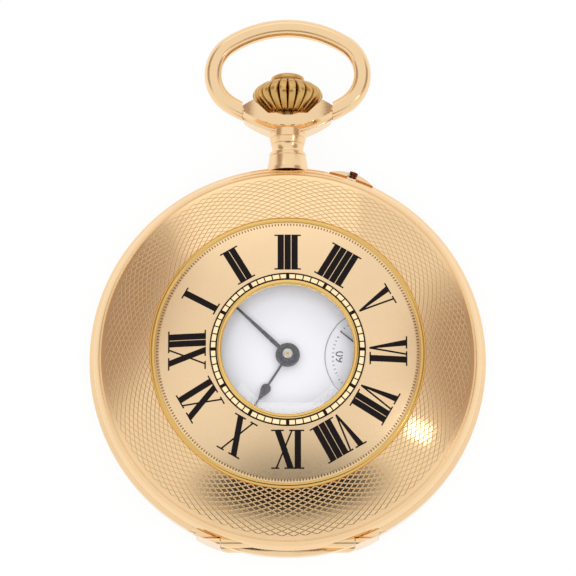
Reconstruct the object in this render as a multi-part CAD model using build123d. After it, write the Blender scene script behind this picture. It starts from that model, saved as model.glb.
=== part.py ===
from build123d import *
import os
from math import atan2, cos, degrees, hypot, radians, sin, sqrt

# Half hunter pocket watch with a lever movement, crown winding and pin setting.
# It lies on its back: +Z leaves the dial, +Y runs to the pendant and bow, the seconds lie toward +X.
# The origin is the middle of the flat on the back cover.  All lengths are millimetres.

os.makedirs("parts", exist_ok=True)

# Fits
running_clearance = 0.03      # radial, shaft in its hole
face_gap = 0.05               # between faces that move past each other
seat_gap = 0.1                # between a cover and what it lies on
cut_overrun = 1.0             # how far cutting tools run past a face

# Case band
case_radius = 25.0
stem_height = 7.5             # stem and middle of the band over the rest face
band_half_height = 1.4
band_chamfer = 0.6
band_wall = 3.9
band_bore_radius = case_radius - band_wall
plate_recess_step = 0.7
plate_recess_radius = band_bore_radius + plate_recess_step
plate_recess_depth = 0.4

# Covers
cover_inset = 0.5             # covers' rims stand this far inside the band
cover_wall = 0.6
window_radius = 8.3
window_rise_share = 0.32      # of the case radius: edge of the window over the stem line
window_rise = window_rise_share * case_radius
front_dome_share = 2.2        # of the case radius
front_dome_radius = front_dome_share * case_radius
front_rim_radius = 1.8
back_flat_radius = 10.0
back_rim_radius = 2.2
back_lip_height = 0.2
thumb_lip_reach = 0.55
thumb_lip_half_width = 1.6
thumb_lip_height = 0.35

# Window glass under the front cover's edge
window_seat_width = 0.85
window_seat_wall = 0.55
window_collar_wall = 0.7
window_collar_depth = 1.3
window_glass_thickness = 0.5
window_rim_width = 0.5
window_rim_thickness = 0.2

# Cover hinges at the foot of the case
hinge_inset = 1.1             # hinge axis inside the covers' rims
hinge_rise = 0.5              # hinge axis past the parting face
hinge_half_length = 11.45
cover_knuckle_half_length = 8.35
knuckle_radius = 0.7
hinge_pin_radius = 0.3
hinge_clearance = 0.15
hinge_shelf_depth = 0.8
hinge_ear_depth = 2.4

# Inner dust cover
cuvette_wall = 0.4
cuvette_gap = 0.5             # between the back cover and the dust cover
cuvette_rim_overhang = 0.1
cuvette_rim_radius = plate_recess_radius + cuvette_rim_overhang
cuvette_rim_wall = 0.45
cuvette_rim_height = 0.5
cuvette_hinge_offset = 0.2    # hinge axis outside the dust cover's rim
cuvette_hinge_drop = 0.55
cuvette_knuckle_radius = 0.4
cuvette_knuckle_half_length = 1.9
cuvette_hinge_half_length = 3.4
cuvette_pin_radius = 0.15

# Pendant, measured along the stem from the middle of the case
pendant_foot_reach = case_radius
pendant_foot_radius = 2.62
pendant_foot_length = 2.2
pendant_waist_reach = pendant_foot_reach + pendant_foot_length
pendant_waist_radius = 1.95
pendant_ring_radius = 2.2
pendant_ring_width = 0.5
pendant_neck_length = 2.8
pendant_neck_reach = pendant_waist_reach + pendant_neck_length
pendant_neck_radius = 2.35
pendant_spigot_radius = 1.2
pendant_spigot_length = 2.6
yoke_ear_low = 1.8            # these four over the top of the neck
yoke_ear_high = 3.3
yoke_peak_rise = 4.1
yoke_floor_rise = 2.3
yoke_reach = pendant_neck_reach + yoke_ear_low
yoke_half_width = 5.72
yoke_half_depth = 2.7
yoke_corner = 1.3
yoke_shoulder_reach = pendant_neck_reach + yoke_ear_high
yoke_peak_reach = pendant_neck_reach + yoke_peak_rise
yoke_peak_half_width = 4.4
yoke_floor_reach = pendant_neck_reach + yoke_floor_rise
yoke_floor_half_width = 2.5

# Bow
bow_pivot_rise = 2.65         # over the top of the neck
bow_centre_rise = 4.85        # over the pivots
bow_pivot_reach = pendant_neck_reach + bow_pivot_rise
bow_centre_reach = bow_pivot_reach + bow_centre_rise
bow_half_width = 9.45         # centre line
bow_half_height = 6.05        # centre line
bow_side_radius = 4.6
bow_half_thickness = 1.1
bow_half_depth = 1.05
bow_edge = 0.45               # bevels along the bow
bow_trunnion_radius = 0.5
bow_trunnion_length = 0.8

# Crown
crown_rib_count = 22
crown_foot_rise = 2.7         # over the top of the neck
crown_foot_reach = pendant_neck_reach + crown_foot_rise
crown_foot_radius = 2.4
crown_low_rise = 0.8          # these over the crown's foot
crown_belt_rise = 2.0
crown_high_rise = 3.1
crown_top_rise = 3.9
crown_button_rise = 4.6
crown_dome_rise = 5.2
stem_head_rise = 2.9
crown_low_reach = crown_foot_reach + crown_low_rise
crown_low_radius = 3.35
crown_belt_reach = crown_foot_reach + crown_belt_rise
crown_belt_radius = 4.45
crown_high_reach = crown_foot_reach + crown_high_rise
crown_high_radius = 3.95
crown_top_reach = crown_foot_reach + crown_top_rise
crown_top_radius = 2.55
crown_groove_share = 0.88
crown_rib_share = 0.28        # half a rib's top in pitches
crown_cap_share = 0.8         # where the button's edge turns in
crown_button_radius = 2.1
crown_button_reach = crown_foot_reach + crown_button_rise
crown_dome_reach = crown_foot_reach + crown_dome_rise
crown_travel = 0.5
crown_pocket_clearance = 0.15

# Stem
stem_radius = 0.75
stem_pivot_radius = 0.35
stem_square = 0.9
stem_pinion_seat_radius = 0.68
stem_tip_reach = 12.35
stem_head_reach = crown_foot_reach + stem_head_rise

# Levels of the movement over the rest face
plate_low_rise = 0.4
plate_low = stem_height + plate_low_rise
plate_flange_low_rise = 1
plate_flange_low = stem_height + plate_flange_low_rise
plate_high_rise = 1.8
plate_high = stem_height + plate_high_rise
barrel_bridge_low_drop = 1.85
barrel_bridge_low = stem_height - barrel_bridge_low_drop
barrel_bridge_high_drop = 1.2
barrel_bridge_high = stem_height - barrel_bridge_high_drop
train_bridge_low_drop = 3.4
train_bridge_low = stem_height - train_bridge_low_drop
train_bridge_high_drop = 2.85
train_bridge_high = stem_height - train_bridge_high_drop
dial_low_rise = 2.35
dial_low = stem_height + dial_low_rise
dial_high_rise = 2.85
dial_high = stem_height + dial_high_rise
seconds_dial_high_rise = 2.7
seconds_dial_high = stem_height + seconds_dial_high_rise
seconds_hand_low_rise = 3
seconds_hand_low = stem_height + seconds_hand_low_rise
hour_hand_low_rise = 3.45
hour_hand_low = stem_height + hour_hand_low_rise
minute_hand_low_rise = 3.85
minute_hand_low = stem_height + minute_hand_low_rise
hand_thickness = 0.15
hub_high_rise = 4.9
hub_high = stem_height + hub_high_rise

# Movement outlines
plate_radius_inset = 0.1
plate_radius = band_bore_radius - plate_radius_inset
plate_flange_inset = 0.1
plate_flange_radius = plate_recess_radius - plate_flange_inset
bridge_inset = 1.7
bridge_radius = plate_radius - bridge_inset
pillar_radius = 1.1
barrel_pillar_angles = (112.0, 148.0, 176.0)
train_pillar_angles = (40.0, 10.0, -28.0)
train_bridge_shares = ((0.7, -1.0), (1.0, -0.8), (1.0, 1.0), (0.5, 1.0), (0.167, 0.5))
pillar_ring_inset = 1.4
pillar_ring_radius = bridge_radius - pillar_ring_inset
screw_shank_radius = 0.45
screw_head_radius = 0.8
screw_head_height = 0.35
case_screw_inset = 0.6
case_screw_ring_radius = plate_radius - case_screw_inset
case_screw_head_radius = 0.9
case_screw_angles = (30.0, 196.0)

# Dial and crystal
dial_inset = 0.1
dial_radius = bridge_radius - dial_inset
dial_centre_hole_radius = 1.05
seconds_dial_radius = 5.9
seconds_hole_radius = 0.3
dial_foot_radius = 0.35
dial_foot_angles = (60.0, 180.0, 300.0)
dial_foot_inset = 2
dial_foot_ring_radius = dial_radius - dial_foot_inset
crystal_overhang = 0.5
crystal_radius = dial_radius + crystal_overhang
crystal_dome_radius = 75.0
crystal_thickness = 0.45
crystal_shares = (1.0, 0.7, 0.35)  # where the underside's flats meet
crystal_edge_high_rise = 3.83
crystal_edge_high = stem_height + crystal_edge_high_rise
bezel_outer_overhang = 0.55
bezel_outer_radius = plate_recess_radius + bezel_outer_overhang
bezel_seat_overhang = 0.1
bezel_seat_radius = plate_recess_radius + bezel_seat_overhang
bezel_inner_inset = 0.4
bezel_inner_radius = crystal_radius - bezel_inner_inset
bezel_foot_height = 0.6
bezel_groove_half_height = 0.36
bezel_lip = 0.15

# Hands
minute_hand_length = 16.2
minute_hand_tail = 1.0
minute_hand_half_width = 0.27
hour_hand_length = 11.6
hour_hand_stem_half_width = 0.13
hour_spade_half_width = 0.6
hour_hand_hub_radius = 1.35
minute_hand_hub_radius = 1.5
seconds_hand_length = 5.0
seconds_hand_tail = 1.7
seconds_hand_half_width = 0.12
seconds_hand_hub_radius = 0.48
seconds_tail_share = 1.6      # the tail's half width in blade half widths
# Outlines of the hands: shares of the length, then of the half width
minute_hand_shares = ((0.0, 0.8), (0.16, 1.0), (0.5, 0.55), (0.97, 0.25), (1.0, 0.0))
inner_spade_shares = (
    (0.376, 0.22), (0.385, 0.62), (0.40, 0.88), (0.42, 1.0), (0.445, 0.97), (0.475, 0.78), (0.51, 0.5),
    (0.545, 0.27), (0.58, 0.2),
)
outer_spade_shares = ((0.80, 0.2), (0.812, 0.7), (0.835, 1.0), (0.87, 0.8), (0.91, 0.4), (0.97, 0.12))
minute_hand_angle = 136.5
hour_hand_angle = -122.9
seconds_hand_angle = 140.0

# Where the arbors stand
seconds_offset = 10.5
third_reach = 7.5
third_angle = 41.8
barrel_reach = 8.4
barrel_angle = 135.0
escape_reach = 6.75           # from the fourth arbor
escape_angle = -100.0
pallet_reach = 3.0            # from the escape arbor
balance_reach = 7.6           # from the escape arbor
escapement_angle = -140.0
crown_wheel_reach = 14.0
minute_wheel_reach = 4.0
setting_wheel_reach = 10.0
click_reach = 7.75            # from the barrel arbor
click_angle = 105.0

# Teeth.  A tooth is an addendum and a dedendum in modules, and half widths as shares of the pitch.
wheel_tooth_shares = (0.95, 1.25, 0.10, 0.235)
pinion_tooth_shares = (0.75, 1.35, 0.09, 0.20)
barrel_teeth = 48
centre_pinion_leaves = 8
centre_teeth = 48
third_leaves = 6
third_teeth = 45
fourth_leaves = 6
fourth_teeth = 48
escape_leaves = 6
escape_teeth = 15
cannon_leaves = 8
minute_wheel_teeth = 24
minute_leaves = 6
hour_wheel_teeth = 24
setting_wheel_teeth = 24
ratchet_teeth = 32
crown_wheel_teeth = 22
winding_leaves = 10
sliding_leaves = 8

# Wheels and arbors
rim_width = 0.75
arm_half_width = 0.3
hub_radius = 0.8
small_hub_radius = 0.48
wheel_thickness = 0.25
arbor_radius = 0.28
pivot_radius = 0.14
pivot_length = 0.55
centre_arbor_radius = 0.5
centre_pivot_radius = 0.3
centre_pin_radius = 0.35
centre_wheel_low_drop = 1.6
centre_wheel_low = stem_height - centre_wheel_low_drop
centre_pinion_low_drop = 1.05
centre_pinion_low = stem_height - centre_pinion_low_drop
third_wheel_low_drop = 2.75
third_wheel_low = stem_height - third_wheel_low_drop
third_pinion_low_drop = 1.7
third_pinion_low = stem_height - third_pinion_low_drop
fourth_wheel_low_drop = 2.1
fourth_wheel_low = stem_height - fourth_wheel_low_drop
fourth_pinion_low_drop = 2.8
fourth_pinion_low = stem_height - fourth_pinion_low_drop
escape_wheel_low_drop = 1.1
escape_wheel_low = stem_height - escape_wheel_low_drop
escape_pinion_low_drop = 2.2
escape_pinion_low = stem_height - escape_pinion_low_drop
pinion_length = 0.5
escape_tip_radius = 2.6
escape_root_radius = 1.95
escape_rim_width = 0.3
escape_root_share = 0.42      # of the tooth pitch behind the tip
escape_heel_share = 0.08

# Barrel
barrel_low_drop = 1.05
barrel_low = stem_height - barrel_low_drop
barrel_high_rise = 0.8
barrel_high = stem_height + barrel_high_rise
barrel_drum_radius = 6.7
barrel_wall = 0.4
barrel_floor = 0.3
barrel_arbor_radius = 0.6
barrel_pivot_radius = 0.45
barrel_core_radius = 1.5
mainspring_radius = 4.4
barrel_pocket_gap = 0.25
ratchet_low_drop = 2.4
ratchet_low = stem_height - ratchet_low_drop
ratchet_thickness = 0.45
crown_wheel_boss_radius = 1.2
crown_wheel_cap_radius = 1.9
crown_wheel_cap_thickness = 0.3
click_radius = 0.75
click_beak_half_width = 0.3
click_stud_radius = 0.35
click_spring_width = 0.18
click_beak_turn = 10.0        # these four round the barrel from the click, in degrees
click_tail_turn = 20.0
click_spring_foot_turn = 38.0
click_spring_nose_turn = 32.0
click_spring_foot_reach = 7.9

# Keyless work, distances along the stem
stem_rest_low_reach = 12.2
stem_rest_length = 1.2
stem_rest_high_reach = stem_rest_low_reach + stem_rest_length
stem_rest_half_width = 1.1
stem_rest_depth = 1.3
sliding_pinion_reach = 14.4
sliding_pinion_radius = 1.15
sliding_neck_radius = 0.8
sliding_teeth_length = 0.7
sliding_neck_length = 0.55
sliding_clutch_length = 1.25
sliding_neck_low_reach = sliding_pinion_reach + sliding_teeth_length
sliding_neck_high_reach = sliding_neck_low_reach + sliding_neck_length
sliding_pinion_end_reach = sliding_neck_high_reach + sliding_clutch_length
sliding_bore = 1.0
winding_pinion_gap = 0.3
winding_pinion_length = 1.5
winding_pinion_reach = sliding_pinion_end_reach + winding_pinion_gap
winding_pinion_end_reach = winding_pinion_reach + winding_pinion_length
keyless_slot_half_width = 2.35
keyless_slot_gap = 0.6
keyless_slot_end_reach = winding_pinion_end_reach + keyless_slot_gap
keyless_throat_half_width = 1.0
keyless_pocket_low_rise = 1
keyless_pocket_low = stem_height + keyless_pocket_low_rise
keyless_pocket_gap = 0.3
motion_wheel_low_rise = 1.1
motion_wheel_low = stem_height + motion_wheel_low_rise
pusher_angle = 71.0           # of the set pusher round the case
pusher_radius = 0.36
pusher_head_radius = 0.55
pusher_tip_reach = 19.1
pusher_end_proud = 0.95
pusher_end_reach = case_radius + pusher_end_proud
guard_radius = 5.85
guard_proud = 0.6
guard_half_height = 1.15
lever_pivot_x = 10.5
lever_pivot_y = 14.5
lever_thickness = 0.4
lever_hub_radius = 0.9
lever_arm_half_width = 0.45
lever_finger_half_width = 0.18
lever_stud_radius = 0.4

# Case springs along the band's inner wall
spring_strip_inset = 0.65
spring_strip_radius = band_bore_radius - spring_strip_inset
spring_strip_thickness = 0.35
spring_low_drop = 0.9
spring_low = stem_height - spring_low_drop
spring_high_rise = 0.3
spring_high = stem_height + spring_high_rise
spring_foot_reach = 0.55
catch_half_width = 0.8
catch_rise = 0.55
catch_reach = 2.6
lock_spring_angles = (101.0, 150.0)
lift_spring_angles = (215.0, 264.0)

# Escapement and balance
pallet_span = 29.0            # degrees each side of the line of centres
pallet_stone_width = 0.35
pallet_stone_clearance = 0.12
fork_half_width = 0.2
fork_thickness = 0.2
fork_slot_half_width = 0.2
fork_horn_half_width = 0.45
pallet_cock_low_drop = 1.75
pallet_cock_low = stem_height - pallet_cock_low_drop
pallet_cock_high_drop = 1.35
pallet_cock_high = stem_height - pallet_cock_high_drop
pallet_cock_foot_reach = 5.95
pallet_cock_foot_turn = 98.0  # from the escapement's line
roller_low_drop = 0.75
roller_low = stem_height - roller_low_drop
roller_thickness = 0.2
roller_radius = 1.1
impulse_radius = 0.9
impulse_pin_radius = 0.13
balance_low_drop = 2.6
balance_low = stem_height - balance_low_drop
balance_rim_height = 0.55
balance_arm_height = 0.25
balance_radius = 6.2
balance_rim_wall = 0.6
balance_arm_half_width = 0.4
balance_hub_radius = 0.75
staff_radius = 0.26
cock_low_drop = 4.1
cock_low = stem_height - cock_low_drop
cock_high_drop = 3.45
cock_high = stem_height - cock_high_drop
cock_tip_radius = 1.6
cock_arm_share = 0.8          # half width of a cock's arm in tip radii
stud_arm_reach = 1.44
pallet_cock_tip_radius = 0.99
cock_foot_inset = 4.2
cock_foot_ring_radius = plate_radius - cock_foot_inset
cock_foot_turn = -32.0         # round the case from the balance
cock_foot_radius = 1.5
hairspring_low_drop = 3.1
hairspring_low = stem_height - hairspring_low_drop
hairspring_height = 0.15
hairspring_thickness = 0.1
hairspring_inner_radius = 0.7
hairspring_pitch = 0.6
hairspring_half_turns = 5
stud_half_width = 0.2
regulator_low_drop = 4.45
regulator_low = stem_height - regulator_low_drop
regulator_thickness = 0.28
regulator_ring_radius = 1.35
regulator_boss_radius = 0.85
regulator_pointer_length = 4.4
regulator_pointer_half_width = 0.22
jewel_radius = 0.62

# Worked out from the values above
cannon_radius = 0.6
hour_tube_bore = cannon_radius + running_clearance
hour_tube_radius = 0.95
lever_low = stem_height - lever_thickness / 2
band_low = stem_height - band_half_height
band_high = stem_height + band_half_height
cover_radius = case_radius - cover_inset
hinge_y = -(cover_radius - hinge_inset)
front_hinge_height = band_high + hinge_rise
back_hinge_height = band_low - hinge_rise
window_edge_height = stem_height + window_rise
front_dome_centre = window_edge_height - sqrt(front_dome_radius ** 2 - window_radius ** 2)
cuvette_hinge_y = -(cuvette_rim_radius + cuvette_hinge_offset)
cuvette_hinge_height = band_low - cuvette_hinge_drop


def polar(reach, angle, centre=(0.0, 0.0)):
    """The point at a distance and an angle in degrees from a centre."""
    return (centre[0] + reach * cos(radians(angle)), centre[1] + reach * sin(radians(angle)))


centre_place = (0.0, 0.0)
fourth_place = (seconds_offset, 0.0)
third_place = polar(third_reach, third_angle)
barrel_place = polar(barrel_reach, barrel_angle)
escape_place = polar(escape_reach, escape_angle, fourth_place)
pallet_place = polar(pallet_reach, escapement_angle, escape_place)
balance_place = polar(balance_reach, escapement_angle, escape_place)
crown_wheel_place = (0.0, crown_wheel_reach)
minute_wheel_place = (0.0, minute_wheel_reach)
setting_wheel_place = (0.0, setting_wheel_reach)
click_place = polar(click_reach, click_angle, barrel_place)
lever_place = (lever_pivot_x, lever_pivot_y)


# Basic shapes
def face_of(points):
    """A flat face inside a closed outline of points."""
    return make_face(Polyline(*points, close=True))


def turned(points):
    """A solid turned about Z from an outline of (radius, height) points."""
    return revolve(Plane.XZ * face_of(points), Axis.Z)


def turned_on_stem(points):
    """A solid turned about the stem from an outline of (radius, reach) points."""
    return Pos(0, 0, stem_height) * revolve(face_of(points), Axis.Y)


def disc(radius, low, high, place=centre_place):
    return Pos(place[0], place[1], low) * extrude(Circle(radius), high - low)


def washer(inner, outer, low, high, place=centre_place):
    return disc(outer, low, high, place) - disc(inner, low - cut_overrun, high + cut_overrun, place)


def slab(points, low, high):
    """A plate of the given outline between two heights."""
    return Pos(0, 0, low) * extrude(face_of(points), high - low)


def block(x_range, y_range, z_range):
    size = [b - a for a, b in (x_range, y_range, z_range)]
    middle = [(a + b) / 2 for a, b in (x_range, y_range, z_range)]
    return Pos(*middle) * Box(*size)


def rod(radius, start, end, direction, place):
    """A round bar along a direction, from start to end measured from a place."""
    base = Plane(origin=place, z_dir=direction).offset(start)
    return base * extrude(Circle(radius), end - start)


def stem_rod(radius, start, end):
    return rod(radius, start, end, (0, 1, 0), (0, 0, stem_height))


def strut(start, end, half_width, low, high):
    """A straight bar between two places."""
    length = hypot(end[0] - start[0], end[1] - start[1])
    angle = degrees(atan2(end[1] - start[1], end[0] - start[0]))
    bar = Pos(length / 2, 0, (low + high) / 2) * Box(length, 2 * half_width, high - low)
    return Pos(start[0], start[1], 0) * Rot(0, 0, angle) * bar


def arc_between(centre, start, end):
    """The short arc of a circle about a centre, from start to end."""
    lean = [start[i] + end[i] - 2 * centre[i] for i in (0, 1)]
    stretch = hypot(start[0] - centre[0], start[1] - centre[1]) / hypot(*lean)
    middle = (centre[0] + lean[0] * stretch, centre[1] + lean[1] * stretch)
    return ThreePointArc(start, middle, end)


# Teeth
def pitch_module(place_a, teeth_a, place_b, teeth_b):
    """The module that two wheels share at their distance."""
    return 2 * hypot(place_b[0] - place_a[0], place_b[1] - place_a[1]) / (teeth_a + teeth_b)


def mesh_phase(place_a, teeth_a, phase_a, place_b, teeth_b):
    """The turn in degrees that puts wheel b's gaps on wheel a's teeth."""
    heading = degrees(atan2(place_b[1] - place_a[1], place_b[0] - place_a[0]))
    fraction = ((heading - phase_a) * teeth_a / 360) % 1
    return heading + 180 + (fraction + 0.5) * 360 / teeth_b


def tooth_outline(teeth, module, phase, shares):
    addendum, dedendum, tip_share, root_share = shares
    tip = module * (teeth / 2 + addendum)
    root = module * (teeth / 2 - dedendum)
    pitch = 360 / teeth
    corners = ((root, -root_share), (tip, -tip_share), (tip, tip_share), (root, root_share))
    return [polar(radius, phase + (k + share) * pitch) for k in range(teeth) for radius, share in corners]


def pinion(leaves, module, phase, low, high, place):
    outline = tooth_outline(leaves, module, phase, pinion_tooth_shares)
    return Pos(place[0], place[1], low) * extrude(face_of(outline), high - low)


def wheel(teeth, module, phase, low, place, hub=hub_radius, thickness=wheel_thickness):
    """A toothed wheel crossed out to a rim, four arms and a hub."""
    root = module * (teeth / 2 - wheel_tooth_shares[1])
    face = face_of(tooth_outline(teeth, module, phase, wheel_tooth_shares)) - Circle(root - rim_width)
    for turn in (0, 90):
        face += Rot(0, 0, phase + turn) * Rectangle(2 * root - rim_width, 2 * arm_half_width)
    face += Circle(hub)
    return Pos(place[0], place[1], low) * extrude(face, thickness)


def arbor(place, low, high, radius=arbor_radius):
    """A staff with a thinner pivot at each end."""
    low_shoulder, high_shoulder = low + pivot_length, high - pivot_length
    points = [
        (0, low), (pivot_radius, low), (pivot_radius, low_shoulder), (radius, low_shoulder),
        (radius, high_shoulder), (pivot_radius, high_shoulder), (pivot_radius, high), (0, high),
    ]
    return Pos(place[0], place[1], 0) * turned(points)


# Modules and phases of the meshes
barrel_module = pitch_module(centre_place, centre_pinion_leaves, barrel_place, barrel_teeth)
centre_module = pitch_module(centre_place, centre_teeth, third_place, third_leaves)
third_module = pitch_module(third_place, third_teeth, fourth_place, fourth_leaves)
fourth_module = pitch_module(fourth_place, fourth_teeth, escape_place, escape_leaves)
minute_module = pitch_module(centre_place, cannon_leaves, minute_wheel_place, minute_wheel_teeth)
hour_module = pitch_module(centre_place, hour_wheel_teeth, minute_wheel_place, minute_leaves)
ratchet_module = pitch_module(barrel_place, ratchet_teeth, crown_wheel_place, crown_wheel_teeth)

centre_pinion_phase = mesh_phase(barrel_place, barrel_teeth, 0, centre_place, centre_pinion_leaves)
third_pinion_phase = mesh_phase(centre_place, centre_teeth, 0, third_place, third_leaves)
fourth_pinion_phase = mesh_phase(third_place, third_teeth, 0, fourth_place, fourth_leaves)
escape_pinion_phase = mesh_phase(fourth_place, fourth_teeth, 0, escape_place, escape_leaves)
minute_wheel_phase = mesh_phase(centre_place, cannon_leaves, 0, minute_wheel_place, minute_wheel_teeth)
hour_wheel_phase = mesh_phase(minute_wheel_place, minute_leaves, 0, centre_place, hour_wheel_teeth)
setting_wheel_phase = mesh_phase(
    minute_wheel_place, minute_wheel_teeth, minute_wheel_phase, setting_wheel_place, setting_wheel_teeth
)
crown_wheel_phase = 90 + 180 / crown_wheel_teeth
ratchet_phase = mesh_phase(
    crown_wheel_place, crown_wheel_teeth, crown_wheel_phase, barrel_place, ratchet_teeth
)


# Case
def hinge_knuckle(height, radius, start, end):
    return rod(radius, start, end, (1, 0, 0), (0, hinge_y, height))


def case_middle():
    """The band: recess for the plate, hinge ears and the holes for stem and pusher."""
    flank = case_radius - band_chamfer
    recess = band_high - plate_recess_depth
    band = turned([
        (band_bore_radius, band_low), (band_bore_radius, recess), (plate_recess_radius, recess),
        (plate_recess_radius, band_high), (flank, band_high), (case_radius, band_high - band_chamfer),
        (case_radius, band_low + band_chamfer), (flank, band_low),
    ])
    shelf = (-case_radius - cut_overrun, hinge_y + knuckle_radius + hinge_clearance)
    shelf_span = (-cover_knuckle_half_length - face_gap, cover_knuckle_half_length + face_gap)
    band -= block(shelf_span, shelf, (band_high - hinge_shelf_depth, band_high + cut_overrun))
    band -= block(shelf_span, shelf, (band_low - cut_overrun, band_low + hinge_shelf_depth))
    band -= stem_rod(pendant_spigot_radius, band_bore_radius - cut_overrun, case_radius + cut_overrun)
    band -= rod(pusher_radius + running_clearance, band_bore_radius - cut_overrun, case_radius + cut_overrun,
                (*polar(1, pusher_angle), 0), (0, 0, stem_height))
    band -= catch_slot()
    inner_end = cover_knuckle_half_length + 2 * face_gap
    for side in (-1, 1):
        span = sorted((side * inner_end, side * hinge_half_length))
        band += block(span, (hinge_y - knuckle_radius, hinge_y + hinge_ear_depth - knuckle_radius),
                      (back_hinge_height, front_hinge_height))
        for height in (back_hinge_height, front_hinge_height):
            band += hinge_knuckle(height, knuckle_radius, *span)
    for height in (back_hinge_height, front_hinge_height):
        band -= hinge_knuckle(height, hinge_pin_radius, -hinge_half_length - cut_overrun,
                              hinge_half_length + cut_overrun)
    return band + cuvette_ears()


def catch_slot():
    """The space through plate and band in which the lock spring's nose stands."""
    half_width = catch_half_width + 2 * seat_gap
    slot = block((spring_strip_radius - 2 * spring_strip_thickness, band_bore_radius + catch_reach + seat_gap),
                 (-half_width, half_width), (spring_high - seat_gap, band_high + cut_overrun))
    return Rot(0, 0, lock_spring_angles[0]) * slot


def cuvette_ears():
    """The two small knuckles under the band that carry the dust cover."""
    ears = Part()
    for side in (-1, 1):
        span = sorted((side * (cuvette_knuckle_half_length + face_gap), side * cuvette_hinge_half_length))
        y_range = (cuvette_hinge_y - cuvette_knuckle_radius, cuvette_hinge_y + cuvette_knuckle_radius)
        ear = block(span, y_range, (cuvette_hinge_height, band_low))
        ear += rod(cuvette_knuckle_radius, *span, (1, 0, 0), (0, cuvette_hinge_y, cuvette_hinge_height))
        ears += ear
    return ears - rod(cuvette_pin_radius, -cuvette_hinge_half_length - cut_overrun,
                      cuvette_hinge_half_length + cut_overrun, (1, 0, 0),
                      (0, cuvette_hinge_y, cuvette_hinge_height))


def hinge_pin(height):
    return hinge_knuckle(height, hinge_pin_radius, -hinge_half_length, hinge_half_length)


def clear_of_band_hinge(cover, height, inward):
    """Cuts a cover free of the band's knuckles and ears: these are the scallops at the rim."""
    inner_end = cover_knuckle_half_length
    outer_end = hinge_half_length + hinge_clearance
    y_range = (hinge_y - knuckle_radius - hinge_clearance,
               hinge_y + hinge_ear_depth - knuckle_radius + hinge_clearance)
    z_range = sorted((height, height - inward * cut_overrun * 2))
    for side in (-1, 1):
        span = sorted((side * inner_end, side * outer_end))
        cover -= hinge_knuckle(height, knuckle_radius + hinge_clearance, *span)
        cover -= block(span, y_range, z_range)
    return cover


def with_knuckle(cover, height):
    """Adds a cover's own long knuckle, bored for the pin."""
    cover += hinge_knuckle(height, knuckle_radius, -cover_knuckle_half_length, cover_knuckle_half_length)
    bore = hinge_pin_radius + running_clearance
    return cover - hinge_knuckle(height, bore, -case_radius, case_radius)


def front_cover():
    """The half hunter lid: a shallow dome turned round a window, with a collar for its glass."""
    low = band_high + face_gap
    rim_centre_r = cover_radius - front_rim_radius
    reach = front_dome_radius - front_rim_radius
    rim_centre = (rim_centre_r, front_dome_centre + sqrt(reach ** 2 - rim_centre_r ** 2))
    dome_centre = (0.0, front_dome_centre)

    def dome_point(radius, drop=0.0):
        return (radius, front_dome_centre + sqrt((front_dome_radius - drop) ** 2 - radius ** 2))

    def crossing(drop):
        share = (front_dome_radius - drop) / reach
        return (rim_centre[0] * share, front_dome_centre + (rim_centre[1] - front_dome_centre) * share)

    seat_radius = window_radius + window_seat_width
    collar_radius = seat_radius + window_collar_wall
    seat = window_edge_height - window_seat_wall
    collar = window_edge_height - window_collar_depth
    inner_wall = cover_radius - cover_wall
    window_edge = dome_point(window_radius)
    outer = crossing(0.0)
    inner = crossing(cover_wall)
    collar_top = dome_point(collar_radius, cover_wall)
    inside_middle = dome_point((inner[0] + collar_radius) / 2, cover_wall)
    outline = [
        arc_between(dome_centre, window_edge, outer),
        arc_between(rim_centre, outer, (cover_radius, rim_centre[1])),
        Polyline((cover_radius, rim_centre[1]), (cover_radius, low), (inner_wall, low),
                 (inner_wall, rim_centre[1])),
        Polyline((inner_wall, rim_centre[1]), inner, inside_middle, collar_top, (collar_radius, collar),
                 (seat_radius, collar), (seat_radius, seat), (window_radius, seat), window_edge),
    ]
    lid = revolve(Plane.XZ * make_face(outline), Axis.Z)
    lid = clear_of_band_hinge(lid, front_hinge_height, 1)
    return with_knuckle(lid, front_hinge_height)


def window_glass():
    high = window_edge_height - window_seat_wall - running_clearance
    return disc(window_radius + window_seat_width - face_gap, high - window_glass_thickness, high)


def window_rim():
    """The spring ring that holds the window glass in the lid."""
    high = window_edge_height - window_seat_wall - 2 * running_clearance - window_glass_thickness
    outer = window_radius + window_seat_width - running_clearance
    return washer(outer - window_rim_width, outer, high - window_rim_thickness, high)


def back_curve_radius(rim_radius, rim_height):
    """Radius of the arc that leaves the back's flat and runs into its rim."""
    across = cover_radius - rim_radius - back_flat_radius
    return (across ** 2 + rim_height ** 2 - rim_radius ** 2) / (2 * (rim_height - rim_radius))


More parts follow.
